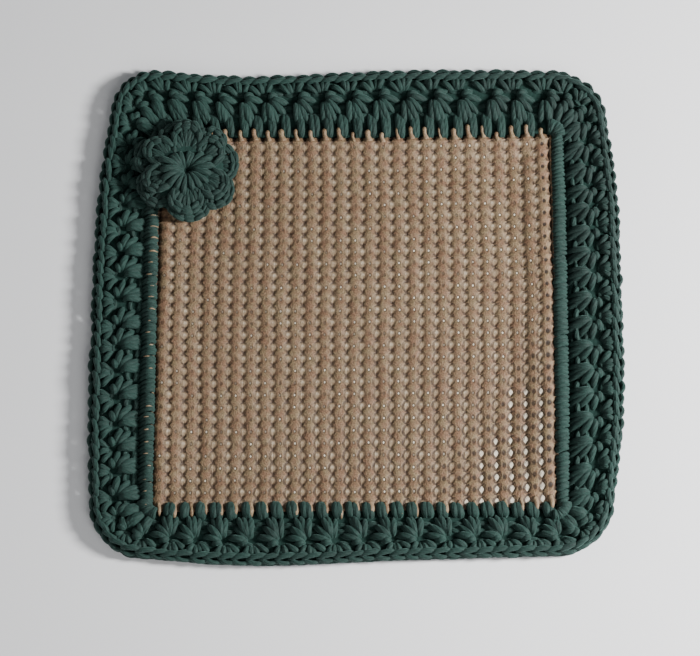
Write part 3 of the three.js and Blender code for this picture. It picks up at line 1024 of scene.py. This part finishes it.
# Loops of the middle: shares of their reach, and the heights there; they reach less far to the far side,
# and a little less to the near side; how uneven they are in turn, reach and height
SPOKES = 18
SPOKE_SHARE = np.array([0.0, 0.14, 0.36, 0.66, 0.88, 1.0])
SPOKE_HEIGHT = np.array([1.8, 3.6, 5.0, 5.4, 4.8, 3.2])
SPOKE_GIRTH = (0.35, 0.5, 0.75, 0.95, 1.05, 1.0, 0.7)
SPOKE_START, SPOKE_REACH = 0.7, 8.6
SPOKE_TURN, SPOKE_FAR_SIDE = 8, 100
SPOKE_LESS_FAR, SPOKE_LESS_NEAR = 3.0, 1.2
SPOKE_EVEN, SPOKE_LESS_OVER = 0.3, 0.6
SPOKE_SPREAD = (4, 0.5, 0.15)
SPOKE_RADIUS = 1.2
MIDDLE_TONE = (0.5, -0.1)


def on_flower(angle, radius, height):
    """Points of the flower: angle in degrees, radius and height above its underside in mm."""
    angle, radius, height = np.broadcast_arrays(np.radians(angle), radius, height)
    x = FLOWER_X + radius * np.cos(angle)
    y = FLOWER_Y + radius * np.sin(angle)
    inside = OPENING_HALF - np.maximum(np.abs(x), np.abs(y))
    under = FLOWER_OVER_BORDER + (FLOWER_OVER_MESH - FLOWER_OVER_BORDER) * ease(inside / FLOWER_SETTLE)
    return placed(x, y, under + height)


def petal_strands(petal, rise, root, radius, rng):
    """Posts that fan out of a petal's root, and the chain round its rim."""

    def rim(share):
        angle = petal.angle + petal.spread * (2 * share - 1)
        reach = root + (petal.reach - root) * np.sin(np.pi * np.clip(share, *RIM_ENDS)) ** RIM_POWER
        return angle, reach

    size = (POSTS, 1)
    shares = (np.arange(POSTS) + 0.5)[:, None] / POSTS + POST_SPREAD[0] * rng.standard_normal(size)
    angle, reach = rim(shares)
    lean = petal.angle + (angle - petal.angle) * POST_LEAN
    inner = root - POST_START
    out = inner + (reach - POST_END - inner) * POST_SHARE
    height = rise + POST_HEIGHT + POST_SPREAD[1] * rng.standard_normal(size)
    loops = [strands(on_flower(lean, out, height), radius, rng, rings=10, girth=FAN_GIRTH)]

    size = (LINKS, 1)
    step = 1 / LINKS
    centre = (np.arange(LINKS) + 0.5)[:, None] * step + LINK_PLACE * step
    angle, reach = rim(np.clip(centre, 0.0, 1.0))
    for shift, lift in LINK_STRANDS:
        height = rise + lift + LINK_HEIGHT + LINK_SPREAD[0] * rng.standard_normal(size)
        out = reach + shift * LINK_BULGE + LINK_SPREAD[1] * rng.standard_normal(size)
        loops.append(strands(on_flower(angle, out, height), radius, rng, rings=11))
    return loops


class GRIPPER_OT_flower(PieceMaker, bpy.types.Operator):
    """Works the flower and its ground over the far left corner"""

    bl_idname = "gripper.flower"
    bl_label = "Flower"
    seed = 53

    # Radii and heights in mm, from the middle of the top round to the middle of the underside
    ground_rings = (
        (0.0, 2.4), (2.5, 3.7), (5.0, 4.5), (8.0, 4.2), (10.5, 3.1), (12.5, 2.0), (14.6, 1.0), (13.8, 0.4),
        (7.0, 0.3), (0.0, 0.3),
    )
    ground_step = 6.0

    def execute(self, context):
        yarn = context.scene.gripper_yarn
        rng = np.random.default_rng(self.seed)
        angles = np.arange(0, 360, self.ground_step)[:, None]
        ground = mapped_grid("flower_ground", on_flower(angles, *np.array(self.ground_rings).T))
        settle(ground, "crochet_flower", bpy.data.materials["yarn_in_shade"])
        shapes = []
        for layer in LAYERS:
            for petal in layer.petals:
                shapes += petal_strands(petal, layer.rise, layer.root, yarn.radius * PETAL_RADIUS, rng)
        petals = yarn_piece("flower_petals", "crochet_flower", toned(shapes, *PETAL_TONE))
        shapes = [strands(self.spokes(rng), yarn.radius * SPOKE_RADIUS, rng, 13, 10, SPOKE_GIRTH)]
        middle = yarn_piece("flower_middle", "crochet_flower", toned(shapes, *MIDDLE_TONE))
        return {"FINISHED"}

    def spokes(self, rng):
        """Knots of the loops that make the middle."""
        size = (SPOKES, 1)
        turn = np.linspace(SPOKE_TURN, SPOKE_TURN + 360, SPOKES, endpoint=False)[:, None]
        turn = turn + SPOKE_SPREAD[0] * rng.standard_normal(size)
        upward = np.cos(np.radians(turn - SPOKE_FAR_SIDE))
        reach = SPOKE_REACH - SPOKE_LESS_FAR * ease((upward - SPOKE_EVEN) / SPOKE_LESS_OVER)
        reach = reach - SPOKE_LESS_NEAR * ease(-upward - SPOKE_EVEN)
        reach = reach + SPOKE_SPREAD[1] * rng.standard_normal(size)
        radius = SPOKE_START + (reach - SPOKE_START) * SPOKE_SHARE
        return on_flower(turn, radius, SPOKE_HEIGHT + SPOKE_SPREAD[2] * rng.standard_normal(size))


# Non-slip mesh. A cell spans from the middle of one rib to the middle of the next, and from the middle
# of one puff of the rib to the middle of the next puff. Its rings are eye-shaped: across and along are
# their reach to the sides and to the tips in mm, height and tip their height there, tone 0 for painted
# shade to 1 for painted light, and 2 for the film that closes a gap, painted as the lit table seen through
# it.
Ring = namedtuple("Ring", "across along height tip tone tip_tone")
CELL_SIDES = 16
# Gaps closed by foam: their tones paint light in the middle, fading outward
PAD_RINGS = (
    Ring(0.35, 0.55, 1.5, 1.45, 1.24, 1.15),
    Ring(0.75, 1.2, 1.6, 1.5, 1.05, 0.9),
    Ring(1.05, 1.62, 1.6, 1.5, 0.8, 0.6),
    Ring(1.35, 1.85, 1.8, 1.5, 0.6, 0.45),
)
# Gaps closed by a film: tone 2 paints the lit table seen through it, and tone 0 paints shade on its rim
FILM_RINGS = (
    Ring(0.35, 0.55, 1.45, 1.45, 2.0, 2.0),
    Ring(0.7, 1.2, 1.45, 1.4, 2.0, 2.0),
    Ring(0.86, 1.42, 1.5, 1.35, 0.0, 0.0),
    Ring(1.08, 1.74, 1.75, 1.4, 0.45, 0.3),
)
PAD_RINGS_BELOW = (Ring(0.9, 1.2, 0.3, 0.3, 0.7, 0.6),)
FILM_RINGS_BELOW = (Ring(0.68, 1.14, 0.5, 0.5, 2.0, 2.0),)
# Heights and tones along the border of the cell, from the middle of the rib beside the gap: the neck
# between two puffs, the flank and the crest of a puff, its side, and the crease between two ribs. The tones
# paint light on the crests and shade in the creases.
BORDER_HEIGHTS = (1.7, 1.85, 2.0, 1.85, 1.55, 1.85, 2.0, 1.85)
BORDER_PAINTED_TONES = (0.5, 0.5, 0.6, 0.5, 0.3, 0.5, 0.6, 0.5)
BORDER_HEIGHTS_BELOW = (0.35, 0.1, 0.0, 0.12, 0.45, 0.12, 0.0, 0.1)
# An eye's outline: how close to a tip its height and tone hold, how far the eye is pinched to its sides
# and to its tips, how much wider its upper half is, always and where foam closes it, and how much painted
# light that upper half gets; how far the border of a cell is squared off; and the wave of the foam's tone
# over the mesh, in mm
TIP_POWER, SIDE_PINCH, TIP_PINCH = 6, 2.2, 1.25
ALWAYS_WIDER, UPPER_WIDER, UPPER_PAINTED_LIGHT = 0.05, 0.25, 0.15
SQUARE = 1.45
TONE_WAVE, TONE_WAVE_X, TONE_WAVE_Y = 0.08, 3.1, 1.7
EDGE_HEIGHT = 1.1
EDGE_LIFT = 1.2
EDGE_LIFT_RIGHT, RIGHT_FROM, RIGHT_OVER = 0.5, 50.0, 10.0
EDGE_LEVEL = 1.5
EDGE_SETTLE = 12.0
# How much of the outer half of an outermost cell is left, at the side edges and at the far and near edge
SIDE_REMNANT = {-1: 0.5, 1: 0.35}
END_REMNANT = {-1: 1.0, 1: 0.1}
EDGE_DROP = 0.7
# The last puff of a rib: its length, how far it drops at its end and in its gap, how much painted shade the
# gap gets, the notch between two puffs and how narrow a puff ends; and the hem behind them: drop, slope,
# length and the tone of its painted shade
LAST_PUFF, PUFF_DROP, GAP_DROP, GAP_PAINTED_SHADE, NOTCH, PUFF_NARROW = 0.82, 0.6, 0.9, 1.3, 1.15, 0.4
HEM_DROP, HEM_SLOPE, HEM_LENGTH, HEM_PAINTED_SHADE = 0.7, 0.3, 0.45, 0.1
# The outermost gaps at the left and right: width, drop of all rings and of the inner ones, and painted
# shade
SIDE_GAP_WIDTH, SIDE_GAP_DROP, SIDE_GAP_DEEP, SIDE_GAP_PAINTED_SHADE = 0.62, 0.3, 0.5, 0.5
# Waves of the ribs, sideways, and of the courses, lengthways: size, and mm of x and of y to a radian
RIB_WAVES = ((0.22, 31.0, 17.0), (0.12, 9.0, 5.3))
COURSE_WAVES = ((0.2, 19.0, -37.0), (0.06, 4.1, 7.0))
# How the sheet is sewn in: moved left, leaning, narrowed at its near side, and pulled at its left edge
MOVED_LEFT, LEANING, NARROWING = 1.0, 0.0117, 0.0058
LEFT_PULL, LEFT_PULL_NEAR = 0.15, 0.5
LEFT_FROM, LEFT_OVER = 50.0, 12.0
NEAR_FROM, NEAR_OVER = 20.0, 60.0
# Its courses climb to the right, are moved nearer and closer, and the far ones up; near the near side they
# turn up at both ends, and more so at the right
CLIMB, MOVED_NEAR, CLOSER, FAR_MOVED = 0.0145, 0.25, 0.006, 0.3
FAR_FROM, FAR_OVER = 15.0, 40.0
BOW, BOW_RIGHT, BOW_MIDDLE, BOW_HALF = 0.65, 0.0065, 0.15, 52.0
BOW_OVER, BOW_MOST = 45.0, 1.2
# Where the mesh is pulled open: beyond a slanting line and below a row
OPEN_SLANT, OPEN_FROM, OPEN_OVER = 0.45, 0.92, 0.4
OPEN_ROW, OPEN_ROW_OVER = -21.0, 4.0
# Gaps: how soon the film is clear, how uneven their sizes are, and how much more the open ones gape
CLEAR_OVER = 0.12
GAP_SPREAD = 0.06
GAPE, GAPE_FROM = 0.25, 0.6


def openness(x, y):
    """How far the mesh is pulled open at a place: it is so towards the near right corner."""
    pull = np.clip((x / HALF_MM - OPEN_SLANT * y / HALF_MM - OPEN_FROM) / OPEN_OVER, 0.0, 1.0)
    return pull * np.clip((OPEN_ROW - y) / OPEN_ROW_OVER, 0.0, 1.0) * (np.abs(x) < HALF_MM - 0.1)


def mesh_lift(x, y):
    """How far the mesh stands off the table, in mm: held up at the border, flat further in."""
    inset = HALF_MM - np.maximum(np.abs(x), np.abs(y))
    held = EDGE_LIFT + EDGE_LIFT_RIGHT * ease((x - RIGHT_FROM) / RIGHT_OVER)
    return held * (1 - ease((inset - EDGE_LEVEL) / EDGE_SETTLE))


def wander(x, y):
    """Where a point of the mesh really lies: sewn in a little askew, its ribs and courses uneven."""
    shift, rise = (
        sum(size * np.sin(x / over_x + y / over_y) for size, over_x, over_y in waves)
        for waves in (RIB_WAVES, COURSE_WAVES)
    )
    near = ease((NEAR_FROM - y) / NEAR_OVER)
    shift -= MOVED_LEFT + LEANING * y + NARROWING * x * near
    shift += (LEFT_PULL - LEFT_PULL_NEAR * near) * ease((-x - LEFT_FROM) / LEFT_OVER)
    rise += CLIMB * x - MOVED_NEAR - CLOSER * y + FAR_MOVED * ease((y - FAR_FROM) / FAR_OVER)
    low = np.clip(-y / BOW_OVER, 0.0, BOW_MOST) ** 2
    rise += low * ((BOW + BOW_RIGHT * x) * (x / BOW_HALF) ** 2 - BOW_MIDDLE)
    return x + shift, y + rise


def signed_power(value, power):
    """The power of a value's size, with the value's sign."""
    return np.sign(value) * np.abs(value) ** power


def cell_surface(rings, lit_film, heights, centre, pitch, sizes, clear, mesh):
    """One skin of every cell: rings from the inside out, from foam to film, and then the border."""
    tube = tube_template(len(rings) + 1, CELL_SIDES)
    angle = tube.turn * math.tau
    cos, sin = np.cos(angle), np.sin(angle)
    level = tube.ring
    on_edge = level == len(rings)
    rows, film_rows = (np.array([*map(tuple, kind), (0.0,) * 6])[level] for kind in (rings, lit_film))
    rows = rows + (film_rows - rows) * clear[:, None, None]
    reach_x, reach_y, height, tip, tone, tip_tone = np.moveaxis(rows, 2, 0)
    pointed = np.abs(sin) ** TIP_POWER
    upper = sin * (1 - clear[:, None])
    wider = 1 + ALWAYS_WIDER * sin + UPPER_WIDER * upper
    x = sizes[:, None] * reach_x * (signed_power(cos, SIDE_PINCH) * wider)
    y = sizes[:, None] * reach_y * signed_power(sin, TIP_PINCH)
    z = height + (tip - height) * pointed
    # Painted light on the upper half of a gap closed by foam
    shade = tone + (tip_tone - tone) * pointed + UPPER_PAINTED_LIGHT * upper
    number = np.rint(tube.turn * CELL_SIDES).astype(int) % (CELL_SIDES // 2)
    x[:, on_edge] = np.clip(SQUARE * cos[on_edge], -1, 1) * pitch[0] / 2
    y[:, on_edge] = np.clip(SQUARE * sin[on_edge], -1, 1) * pitch[1] / 2
    z[:, on_edge] = np.array(heights)[number[on_edge]]
    # The border's tones paint light on the crests and shade in the creases
    shade[:, on_edge] = np.array(BORDER_PAINTED_TONES)[number[on_edge]]
    middle_x, middle_y = centre[:, :1], centre[:, 1:]
    shade += TONE_WAVE * np.sin(middle_x * TONE_WAVE_X + middle_y * TONE_WAVE_Y)
    uv_x = (x + middle_x) / pitch[0] + mesh.ribs / 2
    uv_y = (y + middle_y - mesh.first_gap) / pitch[1] + 0.5

    # The last puff of each rib is short and round, with a notch beside it, and a low hem runs behind both;
    # notch and hem are painted in shade
    last_column = HALF_MM - pitch[0] / 2
    last_row = mesh.first_gap + (mesh.courses - 0.5) * pitch[1]
    end = middle_y > last_row
    share = np.clip(y / pitch[1] + 0.5, 0.0, 0.5) * 2
    hem = np.clip(y / pitch[1], 0.0, 0.5) * 2
    inner = np.clip(2.5 - level, 0.0, 1.0) * ~on_edge
    depth = 1.0 if heights is BORDER_HEIGHTS else 0.5
    z = np.where(end, z - (PUFF_DROP * share**2 + GAP_DROP * share * inner) * depth, z)
    behind = end & (hem > 0.01)
    z = np.where(behind, heights[0] - HEM_DROP - HEM_SLOPE * hem, z)
    # Painted shade in the notch between the last puffs and on the hem
    shade = np.where(end, np.clip(shade - GAP_PAINTED_SHADE * share * inner, 0.0, 1.0), shade)
    shade = np.where(behind, HEM_PAINTED_SHADE, shade)
    notch = (1 - np.minimum(np.abs(x) / pitch[0] * 2, 1.0)) ** 2
    squeezed = (np.minimum(y, 0) + pitch[1] / 2) * LAST_PUFF + HEM_LENGTH * np.maximum(y, 0)
    y = np.where(end, squeezed - NOTCH * share * notch - pitch[1] / 2, y)
    x = np.where(end, x * (1 - PUFF_NARROW * share * ~on_edge), x)

    # The outermost gaps at the left and right are narrow and deep, and painted in shade
    side_end = (np.abs(middle_x) > last_column) & ~on_edge & ~end
    z = np.where(side_end, z - (SIDE_GAP_DROP + SIDE_GAP_DEEP * inner) * depth, z)
    x = np.where(side_end, SIDE_GAP_WIDTH * x, x)
    shade = np.where(side_end, SIDE_GAP_PAINTED_SHADE * (1 - inner), shade)

    # The outer half of every outermost cell is cut short and thins out
    for sign, end_row in ((-1, -mesh.first_gap - pitch[1] / 2), (1, last_row)):
        outer_x = (middle_x * sign > last_column) & (x * sign > 0)
        outer_y = (middle_y * sign > end_row) & (y * sign > 0)
        drop = np.maximum(outer_x * np.abs(x) / pitch[0], outer_y * np.abs(y) / pitch[1]) * 2
        z += (EDGE_HEIGHT - z) * EDGE_DROP * drop
        x = np.where(outer_x, x * SIDE_REMNANT[sign], x)
        y = np.where(outer_y, y * END_REMNANT[sign], y)
    x, y = x + middle_x, y + middle_y
    z += mesh_lift(x, y)
    points = placed(*wander(x, y), z).reshape(-1, 3)
    uv = np.stack([uv_x, uv_y], -1).reshape(-1, 2)
    offset = (np.arange(len(centre)) * len(level))[:, None, None]
    polygons = [(kind + offset).reshape(-1, kind.shape[1]) for kind in (tube.quads, tube.first)]
    return Shape(points, polygons, [uv[p.reshape(-1)] for p in polygons], shade.reshape(-1))


# Ends of the ribs that show between the stitches of the first round, at the far and at the near edge:
# distances past the last gap and the heights there, and the girth
Stub = namedtuple("Stub", "sign past rise girth")
STUBS = (
    Stub(
        sign=1,
        past=(2.4, 3.2, 4.0, 4.8, 5.5, 6.0),
        rise=(0.3, 0.6, 0.9, 1.2, 1.2, 0.5),
        girth=(1.25, 1.0, 0.8, 0.76, 0.86, 0.9, 0.55),
    ),
    Stub(
        sign=-1,
        past=(-0.6, 0.4, 1.4, 2.3, 3.1, 3.7),
        rise=(0.3, 0.6, 1.0, 1.3, 1.1, 0.2),
        girth=(1.0, 1.0, 0.95, 0.9, 0.8, 0.6, 0.3),
    ),
)
STUB_BASE = 1.15
STUB_LEAN = 0.5
STUB_RADIUS = 0.85
STUB_SPREAD = (0.15, 0.12, 0.18)
STUB_TONE = (0.35, 0.5)
# Pale tips of the mesh that come up through the first round at the left: reach out, along, and height. How
# uneven they and the ends of the ribs are: place, length or height, and girth last
SLIVER_OUT = np.array([0.0, 0.8, 1.6, 2.4])
SLIVER_ALONG = np.array([0.1, 0.0, -0.1, -0.2])
SLIVER_HEIGHT = np.array([3.2, 4.7, 5.25, 5.05])
SLIVER_RADIUS = 0.2
SLIVER_SPREAD = (0.25, 0.2, 0.1, 0.25)
SLIVER_TONE = (0.3, 0.65)
# A place in a cell where no crease and no pinhole is drawn
PLAIN_SPOT = (0.5, 0.0)


class GRIPPER_OT_mesh(PieceMaker, bpy.types.Operator):
    """Lays the non-slip mesh with its gaps, ribs and dimples"""

    bl_idname = "gripper.mesh"
    bl_label = "Non-slip mesh"
    cells_seed = 71
    ends_seed = 83

    def execute(self, context):
        look = context.scene.gripper_mesh
        material = foam_material(look)
        piece = piece_from("mesh_sheet", self.skins(look), "cells")
        bm = bmesh.new()
        bm.from_mesh(piece.data)
        bmesh.ops.remove_doubles(bm, verts=bm.verts, dist=MERGE_SKINS)
        bmesh.ops.bridge_loops(bm, edges=[e for e in bm.edges if e.is_boundary])
        bmesh.ops.recalc_face_normals(bm, faces=bm.faces)
        bm.to_mesh(piece.data)
        bm.free()
        piece.data.shade_smooth()
        settle(piece, "mesh_panel", material)

        rng = np.random.default_rng(self.ends_seed)
        shapes = self.stubs(look, rng)
        shapes += self.slivers(look, rng)
        shapes = [s._replace(uvs=[uv * 0.0 + PLAIN_SPOT for uv in s.uvs]) for s in shapes]
        ends = piece_from("mesh_rib_ends", shapes, "cells")
        settle(ends, "mesh_panel", material)
        return {"FINISHED"}

    def skins(self, look):
        """The upper and the lower skin, whose gaps are closed by foam or by a thin film painted as the lit
        table seen through it.
        """
        pitch = (2 * HALF_MM / look.ribs, look.course)
        rng = np.random.default_rng(self.cells_seed)
        gap_x = -HALF_MM + np.arange(look.ribs + 1) * pitch[0]
        gap_y = look.first_gap + np.arange(look.courses + 1) * pitch[1]
        centre = np.stack(np.meshgrid(gap_x, gap_y, indexing="ij"), -1).reshape(-1, 2)
        pull = openness(centre[:, 0], centre[:, 1])
        clear = ease((pull - rng.uniform(0.0, CLEAR_OVER, len(centre))) / CLEAR_OVER)
        sizes = 1 + GAP_SPREAD * rng.standard_normal(len(centre)) + GAPE * (pull - GAPE_FROM) * clear
        skins = (
            (PAD_RINGS, FILM_RINGS, BORDER_HEIGHTS),
            (PAD_RINGS_BELOW, FILM_RINGS_BELOW, BORDER_HEIGHTS_BELOW),
        )
        return [cell_surface(*skin, centre, pitch, sizes, clear, look) for skin in skins]

    def stubs(self, look, rng):
        """Ends of the ribs at the far and the near edge."""
        ribs = (-HALF_MM + (np.arange(look.ribs) + 0.5) * (2 * HALF_MM / look.ribs))[:, None]
        last_gaps = {1: look.first_gap + (look.courses - 1) * look.course, -1: -look.first_gap}
        shapes = []
        across, length, girth = STUB_SPREAD
        for stub in STUBS:
            lean = stub.sign * STUB_LEAN * ease(np.linspace(0, 2, len(stub.past)))
            x = ribs - lean + across * rng.standard_normal(ribs.shape)
            past = np.array(stub.past) * (1 + length * rng.standard_normal(ribs.shape))
            y = stub.sign * (last_gaps[stub.sign] + past)
            z = STUB_BASE + mesh_lift(x, y) + stub.rise
            knots = placed(*wander(x, y), z)
            shapes.append(strands(knots, STUB_RADIUS, rng, rings=10, girth=stub.girth, spread=girth))
        return toned(shapes, *STUB_TONE)

    def slivers(self, look, rng):
        """Pale tips between the turns of the first round at the left, one at each course."""
        courses = (look.first_gap + np.arange(look.courses) * look.course)[:, None]
        out, along, height, girth = SLIVER_SPREAD
        x = -HALF_MM - SLIVER_OUT * (1 + out * rng.standard_normal(courses.shape))
        y = courses + SLIVER_ALONG + along * rng.standard_normal(courses.shape)
        z = SLIVER_HEIGHT + height * rng.standard_normal(courses.shape)
        sliver = strands(placed(*wander(x, y), z), SLIVER_RADIUS, rng, rings=7, sides=6, spread=girth)
        return toned([sliver], *SLIVER_TONE)


# Stage, in metres: soft daylight from the right and a little from the near side, in a pale room
FLOOR_HALF = 3.0
Lamp = namedtuple("Lamp", "name place size power")
LAMPS = (
    Lamp("window", (0.45, -0.04, 0.273), 0.12, 9.0),
    Lamp("bounce", (0.2, -0.45, 0.42), 0.4, 1.9),
    Lamp("wall", (-1.0, 0.0, 0.22), 0.5, 3.2),
)
ROOM_COLOUR = (0.93, 0.96, 1.0, 1.0)
ROOM_STRENGTH = 0.195
AIM_X, AIM_Y = -0.00252, -0.0029
SENSOR_MM = 36.0
CLIP_START = 0.05


class GRIPPER_OT_stage(PieceMaker, bpy.types.Operator):
    """Sets the floor, the soft lights and the camera"""

    bl_idname = "gripper.stage"
    bl_label = "Stage"

    def execute(self, context):
        look = context.scene.gripper_stage
        bm = bmesh.new()
        bmesh.ops.create_grid(bm, x_segments=1, y_segments=1, size=FLOOR_HALF)
        mesh = bpy.data.meshes.new("floor")
        bm.to_mesh(mesh)
        bm.free()
        floor = linked("floor", mesh)
        floor.data.materials.append(floor_material(look))
        for lamp in LAMPS:
            self.light(lamp)
        world = bpy.data.worlds.new("pale_room")
        world.use_nodes = True
        room = world.node_tree.nodes["Background"].inputs
        room["Color"].default_value = ROOM_COLOUR
        room["Strength"].default_value = ROOM_STRENGTH
        context.scene.world = world
        context.scene.camera = self.camera(look)
        return {"FINISHED"}

    def light(self, lamp):
        """A round soft light that looks at the middle of the table."""
        light = bpy.data.lights.new(lamp.name, "AREA")
        light.shape = "DISK"
        light.size = lamp.size
        light.energy = lamp.power
        lit = linked(lamp.name, light)
        lit.location = lamp.place
        lit.rotation_euler = (-Vector(lamp.place)).to_track_quat("-Z", "Y").to_euler()

    def camera(self, look):
        """A camera that leans, turns and rolls as the photograph's."""
        tilt, turn, roll = (math.radians(angle) for angle in (look.tilt, look.turn, look.roll))
        target = Vector((MIDDLE[0] + AIM_X, MIDDLE[1] + AIM_Y, 0.0))
        back = Vector((math.sin(turn) * math.sin(tilt), -math.cos(turn) * math.sin(tilt), math.cos(tilt)))
        lens = bpy.data.cameras.new("camera")
        lens.lens = look.lens
        lens.sensor_width = SENSOR_MM
        lens.clip_start = CLIP_START
        level = Vector((0.0, 1.0, 0.0)).cross(back).normalized()
        upright = back.cross(level)
        right = level * math.cos(roll) + upright * math.sin(roll)
        up = upright * math.cos(roll) - level * math.sin(roll)
        matrix = Matrix((right, up, back)).transposed().to_4x4()
        matrix.translation = target + back * look.distance
        camera = linked("camera", lens)
        camera.matrix_world = matrix
        return camera


class GRIPPER_PT_panel(bpy.types.Panel):
    """Lists the pieces in the order in which they are made"""

    bl_idname = "GRIPPER_PT_panel"
    bl_label = "Jar gripper"
    bl_space_type = "VIEW_3D"
    bl_region_type = "UI"
    bl_category = "Gripper"

    def draw(self, context):
        for group in SETTINGS:
            settings = getattr(context.scene, group)
            box = self.layout.box()
            for name in settings.__annotations__:
                box.prop(settings, name)
        for operator in OPERATORS:
            self.layout.operator(operator.bl_idname)


SETTINGS = {"gripper_yarn": GripperYarn, "gripper_mesh": GripperMesh, "gripper_stage": GripperStage}
OPERATORS = (
    GRIPPER_OT_stage,
    GRIPPER_OT_mesh,
    GRIPPER_OT_first_round,
    GRIPPER_OT_stars,
    GRIPPER_OT_edge,
    GRIPPER_OT_back,
    GRIPPER_OT_ground,
    GRIPPER_OT_flower,
)
CLASSES = (*SETTINGS.values(), *OPERATORS, GRIPPER_PT_panel)


def register():
    """Registers the settings, the operators and the panel."""
    for cls in CLASSES:
        bpy.utils.register_class(cls)
    for name, group in SETTINGS.items():
        setattr(bpy.types.Scene, name, PointerProperty(type=group))


def unregister():
    """Takes back what register did."""
    for name in SETTINGS:
        delattr(bpy.types.Scene, name)
    for cls in reversed(CLASSES):
        bpy.utils.unregister_class(cls)


def main():
    """Makes every piece in order."""
    register()
    yarn = bpy.context.scene.gripper_yarn
    yarn_material(yarn)
    ground_material(yarn)
    for operator in OPERATORS:
        group, name = operator.bl_idname.split(".")
        getattr(getattr(bpy.ops, group), name)()


if __name__ == "__main__":
    main()
